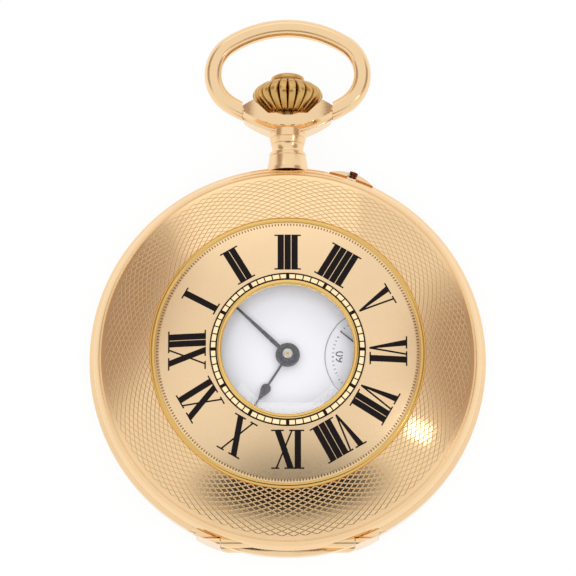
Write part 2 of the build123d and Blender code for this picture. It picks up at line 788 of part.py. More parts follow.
def back_cover():
    """The back: a flat to lie on, a curve, a rolled rim and a lip for the thumb nail."""
    high = band_low - face_gap
    rim_height = high - back_lip_height
    curve = back_curve_radius(back_rim_radius, rim_height)
    centre = (back_flat_radius, curve)
    rim_centre = (cover_radius - back_rim_radius, rim_height)

    def crossing(drop):
        share = (curve - drop) / (curve - back_rim_radius)
        return tuple(centre[i] + (rim_centre[i] - centre[i]) * share for i in (0, 1))

    inner_wall = cover_radius - cover_wall
    outer = crossing(0.0)
    inner = crossing(cover_wall)
    middle_r = (back_flat_radius + inner[0]) / 2
    inside_middle = (middle_r, curve - sqrt((curve - cover_wall) ** 2 - (middle_r - back_flat_radius) ** 2))
    outline = [
        Line((0, 0), (back_flat_radius, 0)),
        arc_between(centre, (back_flat_radius, 0), outer),
        arc_between(rim_centre, outer, (cover_radius, rim_height)),
        Polyline((cover_radius, rim_height), (cover_radius, high), (inner_wall, high),
                 (inner_wall, rim_height)),
        Polyline((inner_wall, rim_height), inner, inside_middle, (back_flat_radius, cover_wall),
                 (0, cover_wall), (0, 0)),
    ]
    cover = revolve(Plane.XZ * make_face(outline), Axis.Z)
    lip = block((cover_radius - cover_wall, cover_radius + thumb_lip_reach),
                (-thumb_lip_half_width, thumb_lip_half_width), (high - thumb_lip_height, high))
    lip &= disc(cover_radius + thumb_lip_reach, high - thumb_lip_height, high)
    cover += Rot(0, 0, 180 - pusher_angle) * lip
    cover = clear_of_band_hinge(cover, back_hinge_height, -1)
    return with_knuckle(cover, back_hinge_height)


def cuvette():
    """The inner dust cover, nested in the back's curve, on its own small hinge."""
    curve = back_curve_radius(back_rim_radius, band_low - face_gap - back_lip_height)
    outer_curve = curve - cover_wall - cuvette_gap
    inner_curve = outer_curve - cuvette_wall
    high = band_low - seat_gap
    inner_rim = cuvette_rim_radius - cuvette_rim_wall
    turn_radius = inner_rim - cuvette_rim_wall

    def curve_point(radius, size):
        return (radius, curve - sqrt(size ** 2 - (radius - back_flat_radius) ** 2))

    middle_r = (back_flat_radius + turn_radius) / 2
    rim_low = high - cuvette_rim_height
    cover = turned([
        (0, curve - outer_curve), (back_flat_radius, curve - outer_curve), curve_point(middle_r, outer_curve),
        curve_point(turn_radius, outer_curve), (cuvette_rim_radius, rim_low), (cuvette_rim_radius, high),
        (inner_rim, high), (inner_rim, rim_low + cuvette_wall / 2), curve_point(turn_radius, inner_curve),
        curve_point(middle_r, inner_curve), (back_flat_radius, curve - inner_curve), (0, curve - inner_curve),
    ])
    place = (0, cuvette_hinge_y, cuvette_hinge_height)
    for side in (-1, 1):
        span = sorted((side * cuvette_knuckle_half_length,
                       side * (cuvette_hinge_half_length + seat_gap)))
        reach = cuvette_knuckle_radius + seat_gap
        cover -= block(span, (cuvette_hinge_y - reach, cuvette_hinge_y + reach),
                       (cuvette_hinge_height - reach, band_low))
    cover += rod(cuvette_knuckle_radius, -cuvette_knuckle_half_length, cuvette_knuckle_half_length,
                 (1, 0, 0), place)
    return cover - rod(cuvette_pin_radius + running_clearance, -case_radius, case_radius, (1, 0, 0), place)


def cuvette_hinge_pin():
    return rod(cuvette_pin_radius, -cuvette_hinge_half_length, cuvette_hinge_half_length, (1, 0, 0),
               (0, cuvette_hinge_y, cuvette_hinge_height))


# Pendant, bow and crown
def crown_profile(extra=0.0):
    """Half outline of the crown's ribbed body as (radius, reach) points, grown by extra."""
    return [
        (crown_foot_radius + extra, crown_foot_reach), (crown_low_radius + extra, crown_low_reach),
        (crown_belt_radius + extra, crown_belt_reach), (crown_high_radius + extra, crown_high_reach),
        (crown_top_radius + extra, crown_top_reach),
    ]


def pendant():
    """The turned neck and the faceted yoke that carries the bow and hides the crown's foot."""
    neck = turned_on_stem([
        (0, pendant_foot_reach), (pendant_foot_radius, pendant_foot_reach),
        (pendant_ring_radius, pendant_waist_reach - pendant_ring_width),
        (pendant_ring_radius, pendant_waist_reach), (pendant_waist_radius, pendant_waist_reach),
        (pendant_neck_radius, pendant_neck_reach), (pendant_neck_radius, yoke_reach),
        (0, yoke_reach),
    ])
    front = []
    for side in (1, -1):
        half = [
            (side * pendant_neck_radius, pendant_neck_reach), (side * yoke_half_width, yoke_reach),
            (side * yoke_half_width, yoke_shoulder_reach), (side * yoke_peak_half_width, yoke_peak_reach),
            (side * yoke_floor_half_width, yoke_floor_reach),
        ]
        front += half if side > 0 else half[::-1]
    yoke = slab(front, stem_height - yoke_half_depth, stem_height + yoke_half_depth)
    plan = [
        (sx * (yoke_half_width + cut_overrun - cut_x), sy * (yoke_half_depth - cut_y))
        for sx, sy, cut_x, cut_y in (
            (1, 1, cut_overrun + 3 * yoke_corner, 0), (1, 1, cut_overrun, yoke_corner),
            (1, -1, cut_overrun, yoke_corner), (1, -1, cut_overrun + 3 * yoke_corner, 0),
            (-1, -1, cut_overrun + 3 * yoke_corner, 0), (-1, -1, cut_overrun, yoke_corner),
            (-1, 1, cut_overrun, yoke_corner), (-1, 1, cut_overrun + 3 * yoke_corner, 0),
        )
    ]
    across = Plane(origin=(0, 0, stem_height), x_dir=(1, 0, 0), z_dir=(0, 1, 0))
    yoke &= across.offset(pendant_neck_reach - cut_overrun) * extrude(
        face_of(plan), yoke_peak_reach - pendant_neck_reach + 2 * cut_overrun)
    pocket = crown_profile(crown_pocket_clearance)
    low_reach = crown_foot_reach - crown_travel - crown_pocket_clearance
    yoke -= turned_on_stem([
        (0, low_reach), (pocket[0][0], low_reach), (pocket[1][0], crown_low_reach - crown_travel),
        (pocket[2][0], crown_belt_reach - crown_travel), (pocket[2][0], crown_high_reach),
        (0, crown_high_reach),
    ])
    spigot = stem_rod(pendant_spigot_radius, pendant_foot_reach - pendant_spigot_length, pendant_foot_reach)
    solid = neck + yoke + spigot
    solid -= stem_rod(stem_radius + running_clearance, 0, case_radius * 2)
    holes = rod(bow_trunnion_radius + running_clearance, -case_radius, case_radius, (1, 0, 0),
                (0, bow_pivot_reach, stem_height))
    hole_end = yoke_half_width - bow_trunnion_length - seat_gap
    bridge = block((-hole_end, hole_end), (yoke_reach, yoke_peak_reach), (0, 2 * stem_height))
    return solid - (holes - bridge)


def bow():
    """The oval ring: tangent arcs with a bevelled section, and a trunnion at each end."""
    top_radius = (
        (bow_half_width - bow_side_radius) ** 2 + bow_half_height ** 2 - bow_side_radius ** 2
    ) / (2 * (bow_half_height - bow_side_radius))
    side = (bow_half_width - bow_side_radius, bow_centre_reach)
    top_centre = (0.0, bow_centre_reach + bow_half_height - top_radius)
    foot_centre = (0.0, bow_centre_reach - bow_half_height + top_radius)

    def tangent_point(centre):
        share = top_radius / (top_radius - bow_side_radius)
        return tuple(centre[i] + (side[i] - centre[i]) * share for i in (0, 1))

    upper = tangent_point(top_centre)
    lower = tangent_point(foot_centre)
    end_x = yoke_half_width - bow_half_thickness
    end = (end_x, foot_centre[1] - sqrt(top_radius ** 2 - end_x ** 2))
    widest = (bow_half_width, bow_centre_reach)

    def mirrored(point):
        return (-point[0], point[1])

    path = Wire([
        arc_between(foot_centre, end, lower),
        arc_between(side, lower, widest),
        arc_between(side, widest, upper),
        ThreePointArc(upper, (0, top_centre[1] + top_radius), mirrored(upper)),
        arc_between(mirrored(side), mirrored(upper), mirrored(widest)),
        arc_between(mirrored(side), mirrored(widest), mirrored(lower)),
        arc_between(foot_centre, mirrored(lower), mirrored(end)),
    ])
    start = Plane(origin=path @ 0, z_dir=path % 0, x_dir=(0, 0, 1))
    deep, wide, cut = bow_half_depth, bow_half_thickness, bow_edge
    section = face_of([
        (deep, cut - wide), (deep, wide - cut), (deep - cut, wide), (cut - deep, wide),
        (-deep, wide - cut), (-deep, cut - wide), (cut - deep, -wide), (deep - cut, -wide),
    ])
    ring = sweep(start * section, path=path)
    ring = Pos(0, 0, stem_height) * ring
    gap = yoke_half_width + face_gap
    ring -= block((-gap, gap), (0, bow_centre_reach), (0, 2 * stem_height))
    trunnions = rod(bow_trunnion_radius, gap - bow_trunnion_length, gap + bow_half_thickness, (1, 0, 0),
                    (0, bow_pivot_reach, stem_height))
    return ring + trunnions + mirror(trunnions, Plane.YZ)


def crown():
    """The ribbed barrel, lofted through star sections, with a smooth button on top."""
    def star(radius, reach):
        pitch = 360 / crown_rib_count
        points = []
        for k in range(crown_rib_count):
            points += [polar(radius, (k - crown_rib_share) * pitch),
                       polar(radius, (k + crown_rib_share) * pitch),
                       polar(radius * crown_groove_share, (k + 0.5) * pitch)]
        plane = Plane(origin=(0, reach, stem_height), x_dir=(1, 0, 0), z_dir=(0, 1, 0))
        return plane * face_of(points)

    body = loft([star(radius, reach) for radius, reach in crown_profile()], ruled=True)
    button = turned_on_stem([
        (0, crown_high_reach), (crown_button_radius, crown_high_reach),
        (crown_button_radius, crown_button_reach),
        (crown_button_radius * crown_cap_share, (3 * crown_dome_reach + crown_button_reach) / 4),
        (0, crown_dome_reach),
    ])
    return body + button - stem_rod(stem_radius, 0, stem_head_reach)


def winding_stem():
    """Pivot, square for the sliding pinion, seat of the winding pinion, and shank to the crown."""
    round_part = turned_on_stem([
        (0, stem_tip_reach), (stem_pivot_radius, stem_tip_reach),
        (stem_pivot_radius, sliding_pinion_reach), (0, sliding_pinion_reach),
    ])
    seat_reach = winding_pinion_reach + crown_travel
    shoulder_reach = winding_pinion_end_reach + crown_travel + seat_gap
    round_part += turned_on_stem([
        (0, seat_reach), (stem_pinion_seat_radius, seat_reach), (stem_pinion_seat_radius, shoulder_reach),
        (stem_radius, shoulder_reach), (stem_radius, stem_head_reach), (0, stem_head_reach),
    ])
    half = stem_square / 2
    return round_part + block((-half, half), (sliding_pinion_reach, seat_reach),
                              (stem_height - half, stem_height + half))


# Glass, dial and hands
def crystal():
    centre = (0.0, crystal_edge_high - sqrt(crystal_dome_radius ** 2 - crystal_radius ** 2))
    under = crystal_dome_radius - crystal_thickness
    below = [
        (crystal_radius * share, centre[1] + sqrt(under ** 2 - (crystal_radius * share) ** 2))
        for share in crystal_shares
    ]
    outline = [
        arc_between(centre, (0, centre[1] + crystal_dome_radius), (crystal_radius, crystal_edge_high)),
        Polyline((crystal_radius, crystal_edge_high), *below, (0, below[-1][1]),
                 (0, centre[1] + crystal_dome_radius)),
    ]
    return revolve(Plane.XZ * make_face(outline), Axis.Z)


def glass_bezel():
    """The snap bezel on the band's top, grooved for the crystal."""
    groove_middle = crystal_edge_high - crystal_thickness / 2
    groove_low = groove_middle - bezel_groove_half_height
    groove_high = groove_middle + bezel_groove_half_height
    groove_radius_inside = crystal_radius + face_gap
    foot_high = band_high + bezel_foot_height
    return turned([
        (bezel_seat_radius, band_high), (bezel_outer_radius, band_high), (bezel_outer_radius, foot_high),
        (groove_radius_inside + bezel_lip, groove_high + bezel_lip),
        (bezel_inner_radius, groove_high + bezel_lip), (bezel_inner_radius, groove_high),
        (groove_radius_inside, groove_high), (groove_radius_inside, groove_low),
        (bezel_inner_radius, groove_low), (bezel_inner_radius, groove_low - bezel_lip),
        (groove_radius_inside, groove_low - bezel_lip), (bezel_seat_radius, foot_high),
    ])


def dial():
    """The enamel dial with its holes and three feet into the plate."""
    plate = disc(dial_radius, dial_low, dial_high)
    plate -= disc(dial_centre_hole_radius, dial_low - cut_overrun, dial_high + cut_overrun)
    plate -= disc(seconds_dial_radius + running_clearance, dial_low - cut_overrun, dial_high + cut_overrun,
                  fourth_place)
    for place in dial_foot_places():
        plate += disc(dial_foot_radius, plate_flange_low, dial_low, place)
    return plate


def dial_foot_places():
    return [polar(dial_foot_ring_radius, angle) for angle in dial_foot_angles]


def seconds_dial():
    return washer(seconds_hole_radius, seconds_dial_radius, dial_low, seconds_dial_high, fourth_place)


def blade(outline, low, angle, place, hub, bore):
    """A hand: its outline along +X turned to its angle, with a hub and a bore."""
    points = outline + [(x, -y) for x, y in reversed(outline) if y > 0]
    hand = slab(points, low, low + hand_thickness) + disc(hub, low, low + hand_thickness)
    hand -= disc(bore, low - cut_overrun, low + cut_overrun)
    return Pos(place[0], place[1], 0) * Rot(0, 0, angle) * hand


def hour_hand():
    """The half hunter's double spade hand: one spade in the window, one under the lid's numerals."""
    stem = hour_hand_stem_half_width
    spade = hour_spade_half_width
    length = hour_hand_length
    outline = [(0, stem)]
    outline += [(length * along, spade * across) for along, across in inner_spade_shares + outer_spade_shares]
    outline.append((length, 0))
    hand = blade(outline, hour_hand_low, hour_hand_angle, centre_place, hour_hand_hub_radius, hour_tube_radius)
    return hand


def minute_hand():
    half = minute_hand_half_width
    outline = [(-minute_hand_tail, half)]
    outline += [(minute_hand_length * along, half * across) for along, across in minute_hand_shares]
    return blade(outline, minute_hand_low, minute_hand_angle, centre_place, minute_hand_hub_radius,
                 cannon_radius)


def seconds_hand():
    half = seconds_hand_half_width
    outline = [(-seconds_hand_tail, half * seconds_tail_share), (0, half), (seconds_hand_length, half / 2)]
    return blade(outline, seconds_hand_low, seconds_hand_angle, fourth_place, seconds_hand_hub_radius,
                 pivot_radius)


# Motion work
hour_wheel_low = plate_high + face_gap


def cannon_pinion():
    """The friction tube on the centre arbor: it drives the minute wheel and carries the minute hand."""
    tube = disc(cannon_radius, plate_high - pinion_length, hub_high)
    tube += pinion(cannon_leaves, minute_module, 0, motion_wheel_low, motion_wheel_low + wheel_thickness,
                   centre_place)
    return tube - disc(centre_pin_radius, plate_low, hub_high + cut_overrun)


def minute_wheel():
    body = wheel(minute_wheel_teeth, minute_module, minute_wheel_phase, motion_wheel_low, minute_wheel_place)
    body += pinion(minute_leaves, hour_module, 0, motion_wheel_low, hour_wheel_low + wheel_thickness,
                   minute_wheel_place)
    return body - disc(lever_stud_radius + running_clearance, plate_low, dial_low, minute_wheel_place)


def setting_wheel():
    body = wheel(setting_wheel_teeth, minute_module, setting_wheel_phase, motion_wheel_low,
                 setting_wheel_place)
    return body - disc(lever_stud_radius + running_clearance, plate_low, dial_low, setting_wheel_place)


def hour_wheel():
    body = wheel(hour_wheel_teeth, hour_module, hour_wheel_phase, hour_wheel_low, centre_place,
                 hub=hour_tube_radius)
    body += disc(hour_tube_radius, hour_wheel_low, hour_hand_low + hand_thickness)
    return body - disc(hour_tube_bore, plate_low, hub_high)


# Plates and bridges
def pivot_hole(place, low, high, radius=pivot_radius):
    return disc(radius + running_clearance, low, high, place)


def main_plate():
    """The main plate with its flange, pockets, keyless slot, studs and stem rest."""
    plate = disc(plate_radius, plate_low, plate_high)
    plate += disc(plate_flange_radius, plate_flange_low, plate_high)
    plate -= disc(barrel_module * barrel_teeth / 2 + 2 * barrel_pocket_gap, plate_low - cut_overrun,
                  barrel_high + seat_gap, barrel_place)
    pocket_radius = minute_module * (minute_wheel_teeth / 2 + 1) + keyless_pocket_gap
    for place in (minute_wheel_place, setting_wheel_place):
        plate -= disc(pocket_radius, keyless_pocket_low, plate_high + cut_overrun, place)
    plate -= disc(minute_module * cannon_leaves / 2 + 2 * keyless_pocket_gap, keyless_pocket_low,
                  plate_high + cut_overrun)
    through = (plate_low - cut_overrun, plate_high + cut_overrun)
    plate -= block((-keyless_slot_half_width, keyless_slot_half_width),
                   (stem_rest_high_reach, keyless_slot_end_reach), through)
    plate -= block((-keyless_throat_half_width, keyless_throat_half_width),
                   (stem_rest_high_reach, case_radius), through)
    plate += block((-stem_rest_half_width, stem_rest_half_width), (stem_rest_low_reach, stem_rest_high_reach),
                   (plate_low - stem_rest_depth, plate_flange_low))
    plate -= stem_rod(stem_pivot_radius + running_clearance, stem_rest_low_reach - cut_overrun,
                      stem_rest_high_reach + cut_overrun)
    for place in (minute_wheel_place, setting_wheel_place):
        plate += disc(lever_stud_radius, keyless_pocket_low - seat_gap, plate_high, place)
    plate += disc(lever_stud_radius, lever_low, plate_low, lever_place)
    plate -= disc(centre_arbor_radius + running_clearance, plate_low - cut_overrun, plate_high)
    plate -= disc(seconds_hole_radius, plate_low - cut_overrun, plate_high + cut_overrun, fourth_place)
    for place in (third_place, escape_place, pallet_place, balance_place):
        plate -= pivot_hole(place, plate_low - cut_overrun, plate_flange_low)
    plate -= disc(barrel_pivot_radius + running_clearance, plate_low, plate_high - seat_gap, barrel_place)
    for place in dial_foot_places():
        plate -= disc(dial_foot_radius + running_clearance, plate_flange_low - seat_gap, plate_high + cut_overrun,
                      place)
    for place in case_screw_places():
        plate -= disc(screw_shank_radius, plate_low - cut_overrun, plate_flange_low, place)
    return plate - catch_slot()




def pillar_places(angles):
    return [polar(pillar_ring_radius, angle) for angle in angles]


barrel_pillars = pillar_places(barrel_pillar_angles)
train_pillars = pillar_places(train_pillar_angles)


def case_screw_places():
    return [polar(case_screw_ring_radius, angle) for angle in case_screw_angles]


def bridge_on_pillars(face, low, high, places):
    """A flat bridge with pillars up to the plate, drilled for its screws."""
    bridge = Pos(0, 0, low) * extrude(face, high - low)
    for place in places:
        bridge += disc(pillar_radius, low, plate_low, place)
    for place in places:
        bridge -= disc(screw_shank_radius, low - cut_overrun, plate_low + cut_overrun, place)
    return bridge


def barrel_bridge():
    """Holds the barrel, the crown wheel and the click, cut away for the centre wheel and the stem."""
    centre_tip = centre_module * (centre_teeth / 2 + 1)
    edge_x = third_place[0] - 2 * third_module * third_leaves / 2 - hub_radius / 2
    face = Circle(bridge_radius) & Pos((edge_x - case_radius) / 2, case_radius / 2) * Rectangle(
        edge_x + case_radius, case_radius)
    face -= Circle(centre_tip + seat_gap)
    slot_low = winding_pinion_reach - barrel_pocket_gap
    face -= Pos(0, slot_low + case_radius / 2) * Rectangle(2 * keyless_slot_half_width, case_radius)
    bridge = bridge_on_pillars(face, barrel_bridge_low, barrel_bridge_high, barrel_pillars)
    bridge -= stem_rod(sliding_pinion_radius + seat_gap, stem_rest_high_reach, case_radius)
    bridge -= disc(barrel_arbor_radius + running_clearance, barrel_bridge_low - cut_overrun,
                   barrel_bridge_high + cut_overrun, barrel_place)
    bridge += disc(crown_wheel_boss_radius, ratchet_low, barrel_bridge_low, crown_wheel_place)
    bridge += disc(click_stud_radius, ratchet_low, barrel_bridge_low, click_place)
    return bridge


def train_bridge():
    """One plate over the centre, third, fourth and escape pivots, cut clear of the balance."""
    low, high = train_bridge_low, train_bridge_high
    corner = bridge_radius
    outline = [
        (-hub_radius * 2, hub_radius * 2), (-hub_radius * 2, -hub_radius * 2), (corner / 4, -corner / 3),
    ]
    outline += [(corner * across, corner * along) for across, along in train_bridge_shares]
    face = face_of(outline) & Circle(bridge_radius)
    face -= Pos(*balance_place) * Circle(balance_radius + barrel_pocket_gap)
    bridge = bridge_on_pillars(face, low, high, train_pillars)
    bridge -= disc(centre_pivot_radius + running_clearance, low - cut_overrun, high + cut_overrun)
    for place in (third_place, fourth_place, escape_place):
        bridge -= disc(jewel_radius, low - cut_overrun, high + cut_overrun, place)
    return bridge


def bridge_screws():
    """The screws of the two bridges and the two cocks, heads to the back."""
    screws = []
    for low, places in ((barrel_bridge_low, barrel_pillars), (train_bridge_low, train_pillars)):
        for place in places:
            screws.append(disc(screw_shank_radius, low, plate_low, place)
                          + disc(screw_head_radius, low - screw_head_height, low, place))
    for low, place in ((cock_low, cock_foot_place), (pallet_cock_low, pallet_foot_place)):
        screws.append(disc(screw_shank_radius, low, plate_low, place)
                      + disc(screw_head_radius, low - screw_head_height, low, place))
    cap_low = ratchet_low - crown_wheel_cap_thickness
    cap = disc(crown_wheel_cap_radius, cap_low, ratchet_low, crown_wheel_place)
    return Compound(children=screws + [cap])


def case_screws():
    """Two screws whose heads bear on the band and clamp the plate into it."""
    screws = [
        disc(screw_shank_radius, band_low, plate_flange_low, place)
        + disc(case_screw_head_radius, band_low - screw_head_height, band_low, place)
        for place in case_screw_places()
    ]
    return Compound(children=screws)


def jewels():
    """Pierced stones in the train bridge and the balance cock."""
    stones = [
        washer(pivot_radius + running_clearance, jewel_radius, train_bridge_low, train_bridge_high, place)
        for place in (third_place, fourth_place, escape_place)
    ]
    stones.append(washer(pivot_radius + running_clearance, jewel_radius, cock_low, cock_high, balance_place))
    return Compound(children=stones)


# Barrel and winding
def barrel():
    """The toothed drum, open toward the plate."""
    outline = tooth_outline(barrel_teeth, barrel_module, 0, wheel_tooth_shares)
    drum = Pos(*barrel_place, barrel_low) * extrude(face_of(outline), pinion_length)
    drum += disc(barrel_drum_radius, barrel_low, barrel_high, barrel_place)
    drum -= disc(barrel_drum_radius - barrel_wall, barrel_low + barrel_floor, barrel_high + cut_overrun,
                 barrel_place)
    return drum - disc(barrel_arbor_radius + running_clearance, barrel_low - cut_overrun, barrel_high,
                       barrel_place)


def barrel_cover():
    return washer(barrel_arbor_radius + running_clearance, barrel_drum_radius - barrel_wall,
                  barrel_high - barrel_floor, barrel_high, barrel_place)


def mainspring():
    """The mainspring wound up tight, as one solid pack of turns."""
    return washer(barrel_core_radius + seat_gap, mainspring_radius, barrel_low + barrel_floor + seat_gap,
                  barrel_high - barrel_floor - seat_gap, barrel_place)


def barrel_arbor():
    """The arbor with its core and the square for the ratchet wheel."""
    core_low = barrel_low + barrel_floor + seat_gap
    core_high = barrel_high - barrel_floor - seat_gap
    thin = barrel_pivot_radius
    points = [
        (0, ratchet_low), (barrel_arbor_radius, ratchet_low), (barrel_arbor_radius, core_low),
        (barrel_core_radius, core_low), (barrel_core_radius, core_high), (barrel_arbor_radius, core_high),
        (barrel_arbor_radius, barrel_high + seat_gap / 2), (thin, barrel_high + seat_gap / 2),
        (thin, plate_high - 2 * seat_gap), (0, plate_high - 2 * seat_gap),
    ]
    return Pos(*barrel_place, 0) * turned(points)


def ratchet_wheel():
    outline = tooth_outline(ratchet_teeth, ratchet_module, ratchet_phase, wheel_tooth_shares)
    solid = Pos(*barrel_place, ratchet_low) * extrude(face_of(outline), ratchet_thickness)
    return solid - disc(barrel_arbor_radius, ratchet_low - cut_overrun, barrel_bridge_low, barrel_place)


def crown_wheel():
    outline = tooth_outline(crown_wheel_teeth, ratchet_module, crown_wheel_phase, wheel_tooth_shares)
    place = Pos(*crown_wheel_place, ratchet_low + face_gap)
    solid = place * extrude(face_of(outline), ratchet_thickness - face_gap)
    return solid - disc(crown_wheel_boss_radius + running_clearance, ratchet_low - cut_overrun,
                        barrel_bridge_low, crown_wheel_place)


def click():
    """The pawl that points at the ratchet's teeth."""
    tip_radius = ratchet_module * (ratchet_teeth / 2 + wheel_tooth_shares[0]) + face_gap
    tip = polar(tip_radius + click_beak_half_width, click_angle - click_beak_turn, barrel_place)
    beak = strut(click_place, tip, click_beak_half_width, ratchet_low, ratchet_low + ratchet_thickness)
    body = beak + disc(click_radius, ratchet_low, ratchet_low + ratchet_thickness, click_place)
    tail = polar(click_radius * 2, click_angle + click_tail_turn, click_place)
    body += strut(click_place, tail, click_beak_half_width, ratchet_low, ratchet_low + ratchet_thickness)
    return body - disc(click_stud_radius + running_clearance, ratchet_low - cut_overrun, barrel_bridge_low,
                       click_place)


def click_spring():
    """A blade that leans on the click's tail, screwed to the bridge at its far end."""
    foot = polar(click_spring_foot_reach, click_angle + click_spring_foot_turn, barrel_place)
    nose_reach = click_radius * 2 + 2 * seat_gap + click_beak_half_width
    tail = polar(nose_reach, click_angle + click_spring_nose_turn, click_place)
    low, high = ratchet_low + seat_gap, barrel_bridge_low
    blade_high = ratchet_low + ratchet_thickness
    return disc(click_radius, low, high, foot) + strut(foot, tail, click_spring_width / 2, low, blade_high)


def winding_pinion():
    """Its teeth run just over the crown wheel."""
    plane = Plane(origin=(0, winding_pinion_reach, stem_height), x_dir=(1, 0, 0), z_dir=(0, 1, 0))
    tip_radius = stem_height - ratchet_low - ratchet_thickness - face_gap
    module = tip_radius / (winding_leaves / 2 + pinion_tooth_shares[0])
    outline = tooth_outline(winding_leaves, module, 90, pinion_tooth_shares)
    solid = plane * extrude(face_of(outline), winding_pinion_end_reach - winding_pinion_reach)
    return solid - stem_rod(stem_pinion_seat_radius + running_clearance, 0, case_radius)


def sliding_pinion():
    """Slides on the stem's square: a grooved neck for the lever and teeth at its inner end."""
    module = sliding_pinion_radius / (sliding_leaves / 2 + pinion_tooth_shares[0])
    plane = Plane(origin=(0, sliding_pinion_reach, stem_height), x_dir=(1, 0, 0), z_dir=(0, 1, 0))
    outline = tooth_outline(sliding_leaves, module, 0, pinion_tooth_shares)
    solid = plane * extrude(face_of(outline), sliding_neck_low_reach - sliding_pinion_reach)
    solid += stem_rod(sliding_neck_radius, sliding_neck_low_reach, sliding_neck_high_reach)
    solid += stem_rod(sliding_pinion_radius, sliding_neck_high_reach, sliding_pinion_end_reach)
    half = sliding_bore / 2
    return solid - block((-half, half), (0, case_radius), (stem_height - half, stem_height + half))


def setting_lever():
    """Turned by the pusher, it drags the sliding pinion along the stem."""
    low, high = lever_low, lever_low + lever_thickness
    pad = polar(pusher_tip_reach - face_gap - lever_arm_half_width, pusher_angle)
    finger_y = (sliding_neck_low_reach + sliding_neck_high_reach) / 2
    finger_root = (sliding_pinion_radius + lever_arm_half_width * 2, finger_y)
    finger_tip = (sliding_neck_radius + 3 * face_gap, finger_y)
    body = disc(lever_hub_radius, low, high, lever_place)
    body += strut(lever_place, pad, lever_arm_half_width, low, high) + disc(lever_arm_half_width, low, high, pad)
    body += strut(lever_place, finger_root, lever_arm_half_width, low, high)
    body += strut(finger_root, finger_tip, lever_finger_half_width, low, high)
    return body - disc(lever_stud_radius + running_clearance, low - cut_overrun, plate_low, lever_place)


def set_pusher():
    direction = (*polar(1, pusher_angle), 0)
    pin = rod(pusher_radius, pusher_tip_reach, pusher_end_reach, direction, (0, 0, stem_height))
    return pin + rod(pusher_head_radius, case_radius + crown_travel + seat_gap, pusher_end_reach, direction,
                     (0, 0, stem_height))


def pusher_guard():
    """The olive-shaped guard on the band round the set pusher."""
    low, high = stem_height - guard_half_height, stem_height + guard_half_height
    centre = polar(case_radius + guard_proud - guard_radius, pusher_angle)
    guard = disc(guard_radius, low, high, centre) - disc(case_radius, low - cut_overrun, high + cut_overrun)
    return guard - rod(pusher_head_radius + running_clearance, case_radius - cut_overrun,
                       case_radius + guard_proud + cut_overrun, (*polar(1, pusher_angle), 0), (0, 0, stem_height))


def strip_spring(angles, nose_first):
    """A flat spring bent along the band's inner wall with a nose at one end."""
    inner = spring_strip_radius - spring_strip_thickness
    low, high = spring_low, spring_high
    start, end = angles
    points_in = [polar(inner, start), polar(inner, (start + end) / 2), polar(inner, end)]
    points_out = [polar(spring_strip_radius, a) for a in (end, (start + end) / 2, start)]
    face = make_face([
        ThreePointArc(*points_in), Line(points_in[2], points_out[0]),
        ThreePointArc(*points_out), Line(points_out[2], points_in[0]),
    ])
    strip = Pos(0, 0, low) * extrude(face, high - low)
    foot_angle = end if nose_first else start
    strip += disc(spring_foot_reach, low, high, polar(spring_strip_radius, foot_angle))
    return strip


def lock_spring():
    """Its nose rises through the band beside the stem and holds the lid's rim."""
    strip = strip_spring(lock_spring_angles, True)
    arm_low, arm_high = spring_high, band_high - seat_gap
    reach = (spring_strip_radius - spring_strip_thickness, band_bore_radius + catch_reach - seat_gap)
    arm = block(reach, (-catch_half_width, catch_half_width), (arm_low, arm_high))
    post = block((reach[1] - catch_rise, reach[1]), (-catch_half_width, catch_half_width),
                 (arm_low, band_high + catch_rise))
    return strip + Rot(0, 0, lock_spring_angles[0]) * (arm + post)


def lift_spring():
    """Bears up under the lid near its hinge and throws it open."""
    return strip_spring(lift_spring_angles, False)


# Train
def centre_wheel():
    """Wheel, pinion and the long arbor that carries the cannon pinion."""
    points = [
        (0, train_bridge_low), (centre_pivot_radius, train_bridge_low),
        (centre_pivot_radius, train_bridge_high), (centre_arbor_radius, train_bridge_high + face_gap),
        (centre_arbor_radius, motion_wheel_low - face_gap), (centre_pin_radius, motion_wheel_low - face_gap),
        (centre_pin_radius, hub_high + face_gap), (0, hub_high + face_gap),
    ]
    solid = turned(points)
    solid += pinion(centre_pinion_leaves, barrel_module, centre_pinion_phase, centre_pinion_low,
                    centre_pinion_low + pinion_length, centre_place)
    return solid + wheel(centre_teeth, centre_module, 0, centre_wheel_low, centre_place)


def train_member(place, low, high, wheel_part, leaves, module, phase, pinion_low):
    """An arbor with its wheel and pinion."""
    solid = arbor(place, low, high) + wheel_part
    return solid + pinion(leaves, module, phase, pinion_low, pinion_low + pinion_length, place)


def third_wheel():
    body = wheel(third_teeth, third_module, 0, third_wheel_low, third_place)
    return train_member(third_place, train_bridge_low + seat_gap, plate_flange_low - seat_gap, body,
                        third_leaves, centre_module, third_pinion_phase, third_pinion_low)


def fourth_wheel():
    body = wheel(fourth_teeth, fourth_module, 0, fourth_wheel_low, fourth_place)
    solid = train_member(fourth_place, train_bridge_low + seat_gap, plate_flange_low, body,
                         fourth_leaves, third_module, fourth_pinion_phase, fourth_pinion_low)
    return solid + disc(pivot_radius, plate_flange_low - seat_gap, seconds_hand_low + hand_thickness, fourth_place)


